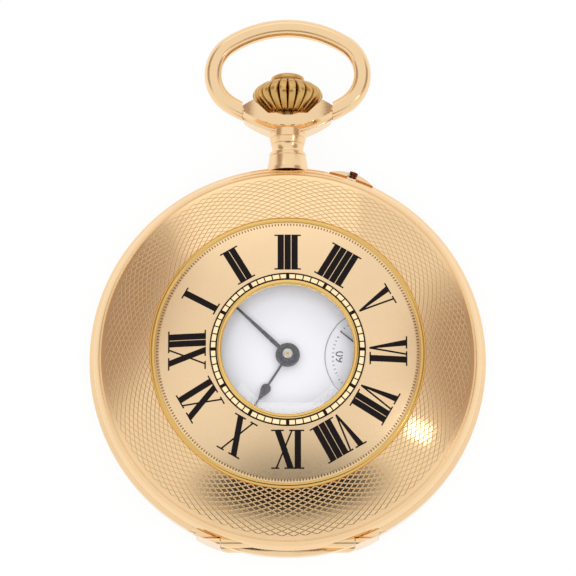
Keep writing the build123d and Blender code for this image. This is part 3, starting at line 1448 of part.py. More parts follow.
def escape_wheel():
    """Fifteen pointed teeth, set so that the pallets stand in two gaps."""
    pitch = 360 / escape_teeth
    phase = escapement_angle + pitch / 2
    points = []
    for k in range(escape_teeth):
        points += [polar(escape_root_radius, phase + (k - escape_root_share) * pitch),
                   polar(escape_tip_radius, phase + k * pitch),
                   polar(escape_root_radius, phase + (k + escape_heel_share) * pitch)]
    face = face_of(points) - Circle(escape_root_radius - escape_rim_width)
    for turn in (0, 90):
        face += Rot(0, 0, turn) * Rectangle(2 * escape_root_radius - escape_rim_width, arm_half_width)
    face += Circle(small_hub_radius)
    body = Pos(*escape_place, escape_wheel_low) * extrude(face, fork_thickness)
    return train_member(escape_place, train_bridge_low + seat_gap, plate_flange_low - seat_gap, body,
                        escape_leaves, fourth_module, escape_pinion_phase, escape_pinion_low)


def pallet_fork():
    """Lever with a slotted fork toward the balance and two pallet stones over the escape wheel."""
    low, high = escape_wheel_low, escape_wheel_low + fork_thickness
    solid = arbor(pallet_place, pallet_cock_low + seat_gap / 2, plate_flange_low - seat_gap)
    solid += disc(small_hub_radius, low, high, pallet_place)
    reach = escape_tip_radius + pallet_stone_clearance + pallet_stone_width
    for side in (-1, 1):
        stone = polar(reach, escapement_angle + side * pallet_span, escape_place)
        solid += strut(pallet_place, stone, fork_half_width, low, high)
        inward = polar(reach - pallet_stone_width, escapement_angle + side * pallet_span, escape_place)
        solid += strut(stone, inward, pallet_stone_width / 2, low, high)
    lever_end = balance_reach - pallet_reach - impulse_radius
    notch_start = polar(lever_end - fork_horn_half_width, escapement_angle, pallet_place)
    notch_end = polar(lever_end + impulse_pin_radius, escapement_angle, pallet_place)
    solid += strut(pallet_place, notch_start, fork_half_width, low, high)
    solid += strut(notch_start, notch_end, fork_horn_half_width, low, high)
    return solid - strut(polar(lever_end - fork_horn_half_width / 2, escapement_angle, pallet_place),
                         polar(lever_end + cut_overrun, escapement_angle, pallet_place),
                         fork_slot_half_width, low - cut_overrun, high + cut_overrun)


pallet_foot_place = polar(pallet_cock_foot_reach, escapement_angle + pallet_cock_foot_turn, pallet_place)
balance_heading = degrees(atan2(balance_place[1], balance_place[0]))
cock_foot_place = polar(cock_foot_ring_radius, balance_heading + cock_foot_turn)


def cock(place, foot, tip_radius, low, high, foot_radius):
    """A one-footed bridge from its foot to a pivot."""
    body = strut(foot, place, tip_radius * cock_arm_share, low, high) + disc(tip_radius, low, high, place)
    body += disc(foot_radius, low, plate_low, foot)
    return body - disc(screw_shank_radius, low - cut_overrun, plate_low + cut_overrun, foot)


def pallet_cock():
    body = cock(pallet_place, pallet_foot_place, pallet_cock_tip_radius, pallet_cock_low, pallet_cock_high,
                pillar_radius)
    return body - pivot_hole(pallet_place, pallet_cock_low - cut_overrun, plate_low)


def balance_cock():
    """Carries the balance's lower jewel, the hairspring stud and the regulator's boss."""
    body = cock(balance_place, cock_foot_place, cock_tip_radius, cock_low, cock_high, cock_foot_radius)
    body += disc(regulator_boss_radius, regulator_low, cock_low, balance_place)
    stud = polar(hairspring_outer_radius + stud_half_width * 2, hairspring_end_angle, balance_place)
    body += strut(stud, polar(stud_arm_reach, hairspring_end_angle, balance_place), stud_half_width,
                  cock_low, cock_high)
    body += block((stud[0] - stud_half_width, stud[0] + stud_half_width),
                  (stud[1] - stud_half_width, stud[1] + stud_half_width),
                  (cock_low, hairspring_low + hairspring_height))
    body -= disc(jewel_radius, cock_low - cut_overrun - regulator_thickness, cock_high + cut_overrun,
                 balance_place)
    return body


def regulator():
    """Friction-tight ring round the cock's boss with a pointer for fast and slow."""
    low, high = regulator_low + face_gap, regulator_low + regulator_thickness
    ring = disc(regulator_ring_radius, low, high, balance_place)
    pointer = strut(balance_place, polar(regulator_pointer_length, escapement_angle - 60, balance_place),
                    regulator_pointer_half_width, low, high)
    return ring + pointer - disc(regulator_boss_radius + running_clearance, low - cut_overrun, high + cut_overrun,
                                 balance_place)


def balance_wheel():
    """A rim on two arms."""
    rim = washer(balance_radius - balance_rim_wall, balance_radius, balance_low, balance_low + balance_rim_height,
                 balance_place)
    span = balance_radius - balance_rim_wall / 2
    arms = strut(polar(span, escapement_angle + 90, balance_place), polar(span, escapement_angle - 90, balance_place),
                 balance_arm_half_width, balance_low, balance_low + balance_arm_height)
    hub = disc(balance_hub_radius, balance_low, balance_low + balance_rim_height, balance_place)
    return rim + arms + hub - disc(staff_radius, balance_low - cut_overrun, plate_low, balance_place)


def balance_staff():
    """Staff with its roller and the impulse pin, which stops just short of the fork."""
    solid = arbor(balance_place, cock_low + 2 * seat_gap, plate_flange_low - seat_gap, staff_radius)
    solid += disc(roller_radius, roller_low, roller_low + roller_thickness, balance_place)
    fork_high = escape_wheel_low + fork_thickness
    pin_place = polar(impulse_radius, escapement_angle + 180, balance_place)
    return solid + disc(impulse_pin_radius, fork_high + face_gap, roller_low, pin_place)


hairspring_outer_radius = hairspring_inner_radius + hairspring_pitch / 2 * hairspring_half_turns
hairspring_end_angle = 180 * (hairspring_half_turns % 2)


def hairspring():
    """A flat spiral of half turns whose centres step to and fro, so that it winds outward."""
    step = hairspring_pitch / 4
    half = hairspring_thickness / 2

    def edge(side):
        arcs = []
        for k in range(hairspring_half_turns):
            radius = hairspring_inner_radius + step * (2 * k + 1) + side * half
            centre_x = step if k % 2 else -step
            sign = -1 if k % 2 else 1
            start = (centre_x + sign * radius, 0)
            top = (centre_x, sign * radius)
            end = (centre_x - sign * radius, 0)
            arcs.append(ThreePointArc(start, top, end))
        return arcs

    inner, outer = edge(-1), edge(1)
    ends = [Line(inner[0] @ 0, outer[0] @ 0), Line(inner[-1] @ 1, outer[-1] @ 1)]
    face = make_face(inner + outer + ends)
    return Pos(*balance_place, hairspring_low) * extrude(face, hairspring_height)


nodes = {
    "case_middle": case_middle,
    "front_hinge_pin": lambda: hinge_pin(front_hinge_height),
    "back_hinge_pin": lambda: hinge_pin(back_hinge_height),
    "cuvette_hinge_pin": cuvette_hinge_pin,
    "front_cover": front_cover,
    "window_glass": window_glass,
    "window_rim": window_rim,
    "back_cover": back_cover,
    "cuvette": cuvette,
    "pendant": pendant,
    "bow": bow,
    "crown": crown,
    "winding_stem": winding_stem,
    "set_pusher": set_pusher,
    "pusher_guard": pusher_guard,
    "lock_spring": lock_spring,
    "lift_spring": lift_spring,
    "crystal": crystal,
    "glass_bezel": glass_bezel,
    "dial": dial,
    "seconds_dial": seconds_dial,
    "hour_hand": hour_hand,
    "minute_hand": minute_hand,
    "seconds_hand": seconds_hand,
    "cannon_pinion": cannon_pinion,
    "minute_wheel": minute_wheel,
    "setting_wheel": setting_wheel,
    "hour_wheel": hour_wheel,
    "main_plate": main_plate,
    "barrel_bridge": barrel_bridge,
    "train_bridge": train_bridge,
    "pallet_cock": pallet_cock,
    "balance_cock": balance_cock,
    "bridge_screws": bridge_screws,
    "case_screws": case_screws,
    "jewels": jewels,
    "barrel": barrel,
    "barrel_cover": barrel_cover,
    "mainspring": mainspring,
    "barrel_arbor": barrel_arbor,
    "ratchet_wheel": ratchet_wheel,
    "crown_wheel": crown_wheel,
    "click": click,
    "click_spring": click_spring,
    "winding_pinion": winding_pinion,
    "sliding_pinion": sliding_pinion,
    "setting_lever": setting_lever,
    "centre_wheel": centre_wheel,
    "third_wheel": third_wheel,
    "fourth_wheel": fourth_wheel,
    "escape_wheel": escape_wheel,
    "pallet_fork": pallet_fork,
    "balance_wheel": balance_wheel,
    "balance_staff": balance_staff,
    "hairspring": hairspring,
    "regulator": regulator,
}

for name, make in nodes.items():
    export_step(make(), f"parts/{name}.step")
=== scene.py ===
import bmesh
import bpy
from math import asin, atan2, cos, hypot, pi, radians, sin, sqrt
from mathutils import Matrix, Vector


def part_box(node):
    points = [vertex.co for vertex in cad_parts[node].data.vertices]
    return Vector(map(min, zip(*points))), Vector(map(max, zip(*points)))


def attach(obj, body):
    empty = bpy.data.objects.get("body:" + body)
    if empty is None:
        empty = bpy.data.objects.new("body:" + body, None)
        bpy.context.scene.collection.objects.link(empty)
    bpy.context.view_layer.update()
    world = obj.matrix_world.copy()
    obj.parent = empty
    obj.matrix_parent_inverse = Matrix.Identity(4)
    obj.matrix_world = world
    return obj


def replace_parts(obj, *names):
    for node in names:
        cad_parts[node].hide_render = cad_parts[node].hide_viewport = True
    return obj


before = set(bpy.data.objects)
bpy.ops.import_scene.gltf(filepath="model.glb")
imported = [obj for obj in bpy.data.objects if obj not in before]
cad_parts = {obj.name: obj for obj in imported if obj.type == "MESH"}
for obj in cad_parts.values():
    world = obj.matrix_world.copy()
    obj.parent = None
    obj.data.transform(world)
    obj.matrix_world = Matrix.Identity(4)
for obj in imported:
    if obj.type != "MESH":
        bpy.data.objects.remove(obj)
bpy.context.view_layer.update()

# Looks of the half hunter pocket watch.  Pieces are drawn in millimetres and brought to metres by piece().

MM = 0.001
TURN = 2 * pi
STEM_HEIGHT = 7.5
HINGE_PLACE = -23.4
FRONT_HINGE_HEIGHT = 9.4
BACK_HINGE_HEIGHT = 5.6
KNUCKLE_RADIUS = 0.7
KNUCKLE_HALF = 8.35
PIN_RADIUS = 0.3
PIN_HALF = 10.6
SECONDS_CENTRE = (10.5, 0.0)
SECONDS_CLEAR = 6.2
GUARD_DEGREES = 71
DOME_RADIUS = 55.0
DOME_CENTRE = 15.5 - sqrt(DOME_RADIUS ** 2 - 8.3 ** 2)
scene = bpy.context.scene


def srgb(red, green, blue):
    """A colour as a screen shows it, 0 to 255, turned into the shader's linear light."""
    linear = [((c / 255 + 0.055) / 1.055) ** 2.4 if c > 10 else c / 3294.6 for c in (red, green, blue)]
    return (*linear, 1.0)


# Finishes

class Shader:
    """A material's nodes, with short ways to add and join them."""

    def __init__(self, name):
        self.material = bpy.data.materials.new(name)
        self.material.use_nodes = True
        self.tree = self.material.node_tree
        self.tree.nodes.clear()

    def node(self, kind, settings=None, **inputs):
        """A node with its inputs set or joined; n0, n1 and so on stand for sockets by number."""
        made = self.tree.nodes.new("ShaderNode" + kind)
        for key, value in (settings or {}).items():
            setattr(made, key, value)
        for key, value in inputs.items():
            numbered = key[0] == "n" and key[1:].isdigit()
            socket = made.inputs[int(key[1:]) if numbered else key.replace("_", " ")]
            if isinstance(value, bpy.types.NodeSocket):
                self.tree.links.new(value, socket)
            else:
                socket.default_value = value
        return made

    def show(self, socket):
        """Joins the last node to the material's output."""
        self.tree.links.new(socket, self.node("OutputMaterial").inputs["Surface"])
        return self.material


def cloudy_colour(shader, place, colour, tone, size):
    """The colour drifts a little lighter and darker over the surface, as handled metal and enamel do."""
    cloud = shader.node("TexNoise", Vector=place, Scale=1 / (size * MM), Detail=3.0)
    dark = tuple(c * (1 - tone) for c in colour[:3]) + (1.0,)
    light = tuple(min(1.0, c * (1 + tone)) for c in colour[:3]) + (1.0,)
    mixed = shader.node("Mix", {"data_type": "RGBA"}, Factor=cloud.outputs["Fac"])
    mixed.inputs[6].default_value = dark
    mixed.inputs[7].default_value = light
    return mixed.outputs[2]


def finish(name, colour, metallic, smooth, rough, grain, relief, tone=0.05, cloud=6.0, stretch=(1, 1, 1),
           coat=0.0, specular=0.5, cuts=None):
    """A surface whose roughness runs between two values with its grain, and whose relief follows the grain.
    Where a piece has cuts, their bottoms take another, darker colour: painted shade in the grooves."""
    shader = Shader(name)
    place = shader.node("TexCoord").outputs["Object"]
    drawn = shader.node("Mapping", Vector=place, Scale=stretch).outputs["Vector"]
    fine = shader.node("TexNoise", Vector=drawn, Scale=1 / (grain * MM), Detail=4.0)
    spread = shader.node("MapRange", Value=fine.outputs["Fac"], To_Min=smooth, To_Max=rough)
    bump = shader.node("Bump", Height=fine.outputs["Fac"], Strength=relief, Distance=0.02 * MM)
    shown = cloudy_colour(shader, place, colour, tone, cloud)
    # cuts is a darker colour painted where the 'cut' attribute is 1: painted shade at the bottoms of the
    # cuts.
    if cuts:
        depth = shader.node("Attribute", {"attribute_name": "cut"})
        mixed = shader.node("Mix", {"data_type": "RGBA"}, Factor=depth.outputs["Fac"])
        shader.tree.links.new(shown, mixed.inputs[6])
        mixed.inputs[7].default_value = cuts
        shown = mixed.outputs[2]
    surface = shader.node(
        "BsdfPrincipled", Base_Color=shown, Metallic=metallic, Roughness=spread.outputs["Result"],
        Normal=bump.outputs["Normal"], Coat_Weight=coat, Specular_IOR_Level=specular)
    return shader.show(surface.outputs["BSDF"])


def ringed_finish(name, colour, smooth, rough, pitch, relief, tone=0.05):
    """Metal turned on a lathe: its grain runs in rings round the middle of the watch."""
    shader = Shader(name)
    place = shader.node("TexCoord").outputs["Object"]
    rings = shader.node("TexWave", {"wave_type": "RINGS", "rings_direction": "Z"}, Vector=place,
                        Scale=0.5 / (pitch * MM), Distortion=0.4, Detail=2.0)
    spread = shader.node("MapRange", Value=rings.outputs["Fac"], To_Min=smooth, To_Max=rough)
    bump = shader.node("Bump", Height=rings.outputs["Fac"], Strength=relief, Distance=0.01 * MM)
    surface = shader.node(
        "BsdfPrincipled", Base_Color=cloudy_colour(shader, place, colour, tone, 8.0), Metallic=1.0,
        Roughness=spread.outputs["Result"], Normal=bump.outputs["Normal"])
    return shader.show(surface.outputs["BSDF"])


def clear_glass(name):
    """Clear glass that lets the lamps reach what is behind it."""
    shader = Shader(name)
    place = shader.node("TexCoord").outputs["Object"]
    film = shader.node("TexNoise", Vector=place, Scale=1 / (5 * MM))
    haze = shader.node("MapRange", Value=film.outputs["Fac"], To_Min=0.0, To_Max=0.02)
    glass = shader.node("BsdfPrincipled", Base_Color=(1, 1, 1, 1), Roughness=haze.outputs["Result"],
                        IOR=1.45, Transmission_Weight=1.0)
    path = shader.node("LightPath")
    pane = shader.node("BsdfTransparent")
    either = shader.node("Math", {"operation": "MAXIMUM"}, n0=path.outputs["Is Shadow Ray"],
                         n1=path.outputs["Is Diffuse Ray"])
    mixed = shader.node("MixShader", n0=either.outputs["Value"], n1=glass.outputs["BSDF"],
                        n2=pane.outputs["BSDF"])
    return shader.show(mixed.outputs["Shader"])


GOLD = srgb(249, 214, 166)
YELLOW_GOLD = srgb(240, 198, 118)
FINISHES = {
    "polished_gold": finish("polished_gold", GOLD, 1.0, 0.10, 0.22, 0.9, 0.05),
    "satin_gold": finish("satin_gold", srgb(250, 217, 172), 1.0, 0.24, 0.34, 0.35, 0.10),
    # The engine turning's cut lines take a darker colour: painted shade in the V grooves.
    "engraved_gold": finish("engraved_gold", srgb(247, 212, 164), 1.0, 0.06, 0.12, 0.5, 0.03,
                            cuts=srgb(204, 160, 106)),
    "ring_gold": finish("ring_gold", srgb(230, 188, 108), 1.0, 0.12, 0.22, 0.8, 0.05),
    # Dark gold for the milled row's dashes: painted shade between the beads.
    "painted_shade_gold": finish("painted_shade_gold", srgb(146, 106, 58), 1.0, 0.3, 0.5, 0.3, 0.1, tone=0.2, cloud=1.0),
    # Dark brown gold for the set pusher: painted shade on the pin that sits in the guard's notch, not
    # browning.
    "painted_shade_brown_gold": finish("painted_shade_brown_gold", srgb(112, 58, 36), 1.0, 0.2, 0.34, 0.3, 0.05, tone=0.2,
                           cloud=0.6),
    "yellow_gold": finish("yellow_gold", YELLOW_GOLD, 1.0, 0.10, 0.20, 0.8, 0.05),
    # The crown's grooves take a dark brown colour: painted shade in the grooves, not age.
    "ribbed_gold_painted_groove_shade": finish("ribbed_gold_painted_groove_shade", srgb(216, 176, 108), 1.0, 0.2, 0.32, 0.6, 0.08, tone=0.12,
                           cloud=2.0, cuts=srgb(140, 94, 46)),
    "enamel": finish("enamel", srgb(240, 240, 246), 0.0, 0.10, 0.18, 2.0, 0.02, tone=0.01, coat=0.3),
    "black_enamel": finish("black_enamel", srgb(22, 15, 15), 0.0, 0.22, 0.36, 0.5, 0.05, tone=0.2,
                           specular=0.1),
    "cream_enamel": finish("cream_enamel", srgb(244, 212, 164), 0.0, 0.25, 0.4, 0.4, 0.05, tone=0.04,
                           cloud=1.5),
    "grey_enamel": finish("grey_enamel", srgb(168, 168, 176), 0.0, 0.3, 0.4, 0.5, 0.02),
    "blued_steel": finish("blued_steel", srgb(60, 52, 62), 1.0, 0.22, 0.34, 0.3, 0.06, tone=0.15,
                          cloud=1.5),
    "steel": finish("steel", srgb(196, 197, 202), 1.0, 0.18, 0.34, 0.25, 0.10, stretch=(1, 6, 1)),
    "gilt_plate": finish("gilt_plate", srgb(232, 200, 136), 1.0, 0.36, 0.5, 0.08, 0.35, cloud=3.0),
    "brass_wheels": ringed_finish("brass_wheels", srgb(226, 190, 112), 0.2, 0.36, 0.12, 0.2),
    "ruby": finish("ruby", srgb(170, 20, 48), 0.0, 0.04, 0.1, 1.0, 0.0, tone=0.1, coat=1.0),
    "glass": clear_glass("glass"),
}
FINISH_OF = {
    "gold": "polished_gold", "glass": "glass", "enamel": "enamel", "blued_steel": "blued_steel",
    "steel": "steel", "gilt_plate": "gilt_plate", "brass_wheels": "brass_wheels", "ruby": "ruby",
}
# The set pusher takes the dark brown: painted shade.
FINISH_OF_NODE = {"set_pusher": "painted_shade_brown_gold"}


# Ways of making pieces

def piece(name, bm, finish_name, body, sharp=40):
    """Closes a millimetre mesh into a named piece in metres that rides on a body."""
    mesh = bpy.data.meshes.new(name)
    bm.to_mesh(mesh)
    bm.free()
    mesh.transform(Matrix.Scale(MM, 4))
    mesh.materials.append(FINISHES[finish_name])
    mesh.polygons.foreach_set("use_smooth", [True] * len(mesh.polygons))
    mesh.set_sharp_from_angle(angle=radians(sharp))
    made = bpy.data.objects.new(name, mesh)
    scene.collection.objects.link(made)
    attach(made, body)
    return made


def copy_of_node(name):
    """A CAD node's mesh in millimetres, its points merged."""
    bm = bmesh.new()
    bm.from_mesh(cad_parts[name].data)
    bmesh.ops.scale(bm, vec=(1 / MM, 1 / MM, 1 / MM), verts=bm.verts)
    bmesh.ops.remove_doubles(bm, verts=bm.verts, dist=0.0005)
    return bm


def turned(profile, steps=360):
    """Spins (radius, height) points round the upright axis."""
    bm = bmesh.new()
    points = [bm.verts.new((radius, 0, height)) for radius, height in profile]
    edges = [bm.edges.new(pair) for pair in zip(points, points[1:])]
    bmesh.ops.spin(bm, geom=points + edges, cent=(0, 0, 0), axis=(0, 0, 1), angle=TURN, steps=steps,
                   use_merge=True)
    bmesh.ops.remove_doubles(bm, verts=bm.verts, dist=0.0005)
    bmesh.ops.recalc_face_normals(bm, faces=bm.faces)
    return bm


def onto_stem(bm):
    """Lays a piece turned upright along the stem."""
    lay_down = Matrix.Translation((0, 0, STEM_HEIGHT)) @ Matrix.Rotation(-pi / 2, 4, "X")
    bmesh.ops.transform(bm, matrix=lay_down, verts=bm.verts)
    return bm


def dome(radius):
    """Height of the front cover's dome at a radius."""
    return DOME_CENTRE + sqrt(DOME_RADIUS ** 2 - radius ** 2)


def arc(centre, radius, start, end, count):
    """Points on an arc from one angle to another, in degrees from the radial direction."""
    angles = [radians(start + (end - start) * k / count) for k in range(count + 1)]
    return [(centre[0] + radius * cos(a), centre[1] + radius * sin(a)) for a in angles]


def carve(made, cutter_bm, sharp=28):
    """Cuts closed meshes, given as one, out of a piece."""
    mesh = bpy.data.meshes.new("cutter")
    cutter_bm.to_mesh(mesh)
    cutter_bm.free()
    mesh.transform(Matrix.Scale(MM, 4))
    cutter = bpy.data.objects.new("cutter", mesh)
    scene.collection.objects.link(cutter)
    cut = made.modifiers.new("cut", "BOOLEAN")
    cut.object = cutter
    cut.solver = "EXACT"
    bpy.context.view_layer.update()
    result = bpy.data.meshes.new_from_object(made.evaluated_get(bpy.context.evaluated_depsgraph_get()))
    result.set_sharp_from_angle(angle=radians(sharp))
    made.modifiers.remove(cut)
    bpy.data.objects.remove(cutter)
    made.data = result


def prism(outline, axis, low, high):
    """A closed outline of (across, up) points drawn out along an axis between two places."""
    bm = bmesh.new()
    at = {"X": lambda a, b: (low, a, b), "Z": lambda a, b: (a, b, low)}[axis]
    ring = [bm.verts.new(at(a, b)) for a, b in outline]
    edges = [bm.edges.new(pair) for pair in zip(ring, ring[1:] + ring[:1])]
    face = bmesh.ops.edgeloop_fill(bm, edges=edges)["faces"]
    drawn = bmesh.ops.extrude_face_region(bm, geom=face, use_keep_orig=True)["geom"]
    far = [v for v in drawn if isinstance(v, bmesh.types.BMVert)]
    drawn_out = Vector((high - low, 0, 0) if axis == "X" else (0, 0, high - low))
    bmesh.ops.translate(bm, vec=drawn_out, verts=far)
    bmesh.ops.recalc_face_normals(bm, faces=bm.faces)
    return bm


def bar_mesh(radius, low, high, place, segments=40):
    """A round bar along X at (y, z)."""
    bm = bmesh.new()
    matrix = Matrix.Translation(((low + high) / 2, *place)) @ Matrix.Rotation(pi / 2, 4, "Y")
    bmesh.ops.create_cone(bm, cap_ends=True, segments=segments, radius1=radius, radius2=radius,
                          depth=high - low, matrix=matrix)
    return bm


def merge_into(target, bm):
    """Adds one mesh to another and frees it."""
    mesh = bpy.data.meshes.new("part")
    bm.to_mesh(mesh)
    bm.free()
    target.from_mesh(mesh)
    bpy.data.meshes.remove(mesh)


# Engine turning

LOZENGES = 96
CUT_SHARE = 0.12


def engine_turning(name, rows, place_of, sink, skirt, body):
    """Two sets of crossing spiral V cuts with flat lozenges between them.  A zigzag is spun so that the
    mesh's edges run along the cuts, its points draw in toward the cuts, and rows are laid at their radius
    and height."""
    steps = LOZENGES * 4
    bm = bmesh.new()
    points = []
    for k in range(int(rows * 8) + 1):
        turn = (k % 2) * TURN / steps / 2
        points.append(bm.verts.new(((10 + k / 8) * cos(turn), (10 + k / 8) * sin(turn), 0)))
    edges = [bm.edges.new(pair) for pair in zip(points, points[1:])]
    bmesh.ops.spin(bm, geom=points + edges, cent=(0, 0, 0), axis=(0, 0, 1), angle=TURN, steps=steps,
                   use_merge=True)
    bmesh.ops.remove_doubles(bm, verts=bm.verts, dist=0.001)
    bmesh.ops.triangulate(bm, faces=bm.faces, quad_method="SHORT_EDGE")
    cut = bm.verts.layers.float.new("cut")
    drawn_in = (0.0, CUT_SHARE, 0.5, 1.0 - CUT_SHARE)
    for vertex in bm.verts:
        around = atan2(vertex.co.y, vertex.co.x) / TURN * LOZENGES
        row = hypot(vertex.co.x, vertex.co.y) - 10
        rising, falling = (divmod(round(4 * turns), 4) for turns in (around + row, around - row))
        up, down = rising[0] + drawn_in[rising[1]], falling[0] + drawn_in[falling[1]]
        # cut marks the cut lines: it sinks them, and through the finish it paints shade along them.
        vertex[cut] = 1.0 if rising[1] == 0 or falling[1] == 0 else 0.0
        radius, height = place_of((up - down) / 2)
        angle = (up + down) / 2 * TURN / LOZENGES
        vertex.co = (radius * cos(angle), radius * sin(angle), height + sink * vertex[cut])
    border = [e for e in bm.edges if e.is_boundary]
    drawn = bmesh.ops.extrude_edge_only(bm, edges=border)["geom"]
    lower = [v for v in drawn if isinstance(v, bmesh.types.BMVert)]
    for vertex in lower:
        vertex[cut] = 0.0
    bmesh.ops.translate(bm, vec=(0, 0, skirt), verts=lower)
    bmesh.ops.bridge_loops(bm, edges=[e for e in bm.edges if e.is_boundary])
    bmesh.ops.recalc_face_normals(bm, faces=bm.faces)
    return piece(name, bm, "engraved_gold", body, sharp=3)


# Front cover

DASH_RADIUS = 16.33
DASHES = 264
RING_RADIUS = 16.95
FRONT_ROWS = 9.5
BAND_INNER = 17.33
BAND_OUTER = 22.9
RIM_CENTRE = (22.7, DOME_CENTRE + sqrt(53.2 ** 2 - 22.7 ** 2))


def cover_skin():
    """The lid turned in one: window edge, numeral zone, ring, engine-turned bed, border, rim and inside."""
    edge = [(8.3, 14.95), (8.3, 15.42), (8.34, 15.52), (8.45, 15.58), (8.62, 15.57), (8.78, 15.50),
            (8.86, dome(8.86))]
    smooth_zone = [(r, dome(r)) for r in (9.3, 9.9, 11.0, 12.0, 13.0, 14.0, 15.0, 15.9, 16.5)]
    ring = [(RING_RADIUS - 0.3 * cos(a), dome(RING_RADIUS - 0.3 * cos(a)) + 0.11 * sin(a))
            for a in [pi * k / 8 for k in range(9)]]
    under_band = [(BAND_INNER - 0.03, dome(17.3) - 0.08), (20.0, dome(20.0) - 0.09),
                  (BAND_OUTER - 0.05, dome(22.85) - 0.08), (BAND_OUTER + 0.03, dome(22.93)),
                  (23.2, dome(23.2))]
    borders = []
    for radius in (23.40, 23.52):
        borders += [(radius, dome(radius)), (radius + 0.03, dome(radius) - 0.05),
                    (radius + 0.06, dome(radius) - 0.015)]
    rim = arc(RIM_CENTRE, 1.8, 59, 0, 22)
    foot = [(24.5, 9.03), (24.48, 8.97), (24.42, 8.95), (23.95, 8.95), (23.9, 9.0), (23.9, RIM_CENTRE[1])]
    inner_rim = arc(RIM_CENTRE, 1.2, 6, 64.7, 10)
    inside = [(r, DOME_CENTRE + sqrt((DOME_RADIUS - 0.6) ** 2 - r ** 2))
              for r in (22.0, 20.0, 18.0, 16.0, 14.0, 12.0, 10.6, 9.85)]
    collar = [(9.85, 14.25), (9.8, 14.2), (9.2, 14.2), (9.15, 14.25), (9.15, 14.95), (8.3, 14.95)]
    return turned(edge + smooth_zone + ring + under_band + borders + rim + foot + inner_rim + inside
                  + collar, 288)


def hinge_cuts(height, inward):
    """Room for the band's knuckles at both ends of a cover's own knuckle."""
    low = height + 1.4 * inward
    round_end = arc((HINGE_PLACE, height), 0.85, 0, 180 * -inward, 12)
    outline = [(-26.0, low), (-21.55, low), (-21.55, height)] + round_end + [(-26.0, height)]
    cuts = prism(outline, "X", -11.6, -KNUCKLE_HALF)
    merge_into(cuts, prism(outline, "X", KNUCKLE_HALF, 11.6))
    return cuts


def lid_row_place(row):
    """Radius and height of a row of lozenges on the lid."""
    inner, outer = asin(BAND_INNER / DOME_RADIUS), asin(BAND_OUTER / DOME_RADIUS)
    lean = inner + (outer - inner) * row / FRONT_ROWS
    return DOME_RADIUS * sin(lean), DOME_CENTRE + DOME_RADIUS * cos(lean)


def make_knuckle(name, height, body):
    """A cover's hinge knuckle, trimmed to the round of the case."""
    bar = bar_mesh(KNUCKLE_RADIUS, -KNUCKLE_HALF, KNUCKLE_HALF, (HINGE_PLACE, height))
    carve(piece(name, bar, "polished_gold", body), outside_the_round())


def make_front_cover():
    """The front cover's skin and knuckle, its engine turning, numeral zone, raised ring and window edge."""
    skin = piece("front_cover_skin", cover_skin(), "polished_gold", "front_lid", sharp=50)
    carve(skin, hinge_cuts(FRONT_HINGE_HEIGHT, -1))
    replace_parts(skin, "front_cover")
    make_knuckle("front_cover_knuckle", FRONT_HINGE_HEIGHT, "front_lid")
    engine_turning("front_engine_turning", FRONT_ROWS, lid_row_place, -0.012, -0.09, "front_lid")
    satin = turned([(9.86, dome(9.86) - 0.02), (9.9, dome(9.9) + 0.012)]
                   + [(r, dome(r) + 0.012) for r in (11, 12, 13, 14, 15, 16, 16.6)]
                   + [(16.66, dome(16.66) - 0.02)], 300)
    piece("numeral_zone", satin, "satin_gold", "front_lid")
    ring = turned([(RING_RADIUS - 0.31 * cos(a), dome(RING_RADIUS - 0.31 * cos(a)) - 0.01 + 0.14 * sin(a))
                   for a in [pi * k / 12 for k in range(13)]], 300)
    piece("raised_ring", ring, "ring_gold", "front_lid", sharp=180)
    window = turned([(8.27, 15.0), (8.27, 15.42), (8.31, 15.53), (8.45, 15.60), (8.62, 15.59),
                     (8.78, 15.52), (8.88, 15.40)], 300)
    piece("window_edge", window, "yellow_gold", "front_lid", sharp=180)


def make_milled_row():
    """The milled row outside the numerals: short dark dashes that point to the centre, painted shade that
    stands in for the grooves between its beads.
    """
    dashes = tick_ring(DASHES, DASH_RADIUS - 0.15, DASH_RADIUS + 0.15, 0.14, 1, 0.14, dome, 0.03)
    piece("milled_row", dashes, "painted_shade_gold", "front_lid")


# Numerals

def stroke(bm, low, high, heights):
    """A bar between two heights; low and high are its (middle, width) at each."""
    made = bmesh.ops.create_grid(bm, x_segments=1, y_segments=6, size=0.5)["verts"]
    for vertex in made:
        share = vertex.co.y + 0.5
        middle = low[0] + (high[0] - low[0]) * share
        width = low[1] + (high[1] - low[1]) * share
        vertex.co.x = middle + vertex.co.x * width
        vertex.co.y = heights[0] + (heights[1] - heights[0]) * share


def letter_widths(text, stem):
    """Width of each letter in a numeral."""
    widths = {"I": stem, "V": stem * 2.7, "X": stem * 3.1}
    return [widths[letter] for letter in text]


def draw_numeral(bm, text, height, stem, serif, hair, gap):
    """One Roman numeral with its feet on y = 0, centred on x = 0: thick stems, hairlines and flat serifs."""
    widths = letter_widths(text, stem)
    left = -(sum(widths) + gap * (len(text) - 1)) / 2
    overhang = stem * 0.5
    feet, heads = [], []
    for letter, width in zip(text, widths):
        right = left + width
        if letter == "I":
            stroke(bm, ((left + right) / 2, width), ((left + right) / 2, width), (0, height))
            feet.append((left, right))
            heads.append((left, right))
        elif letter == "V":
            apex = left + width * 0.62
            stroke(bm, (apex, hair), (left + stem / 2, stem), (0, height))
            stroke(bm, (apex, hair), (right - hair, hair), (0, height))
            heads += [(left, left + stem), (right - hair, right)]
        else:
            stroke(bm, (right - stem / 2, stem), (left + stem / 2, stem), (0, height))
            stroke(bm, (left + hair, hair), (right - hair, hair), (0, height))
            feet += [(left, left + hair), (right - stem, right)]
            heads += [(left, left + stem), (right - hair, right)]
        left = right + gap
    for y_low, y_high, groups in ((0.0, serif, feet), (height - serif, height, heads)):
        for low, high in joined(groups, stem * 0.6):
            low, high = low - overhang, high + overhang
            stroke(bm, ((low + high) / 2, high - low), ((low + high) / 2, high - low), (y_low, y_high))


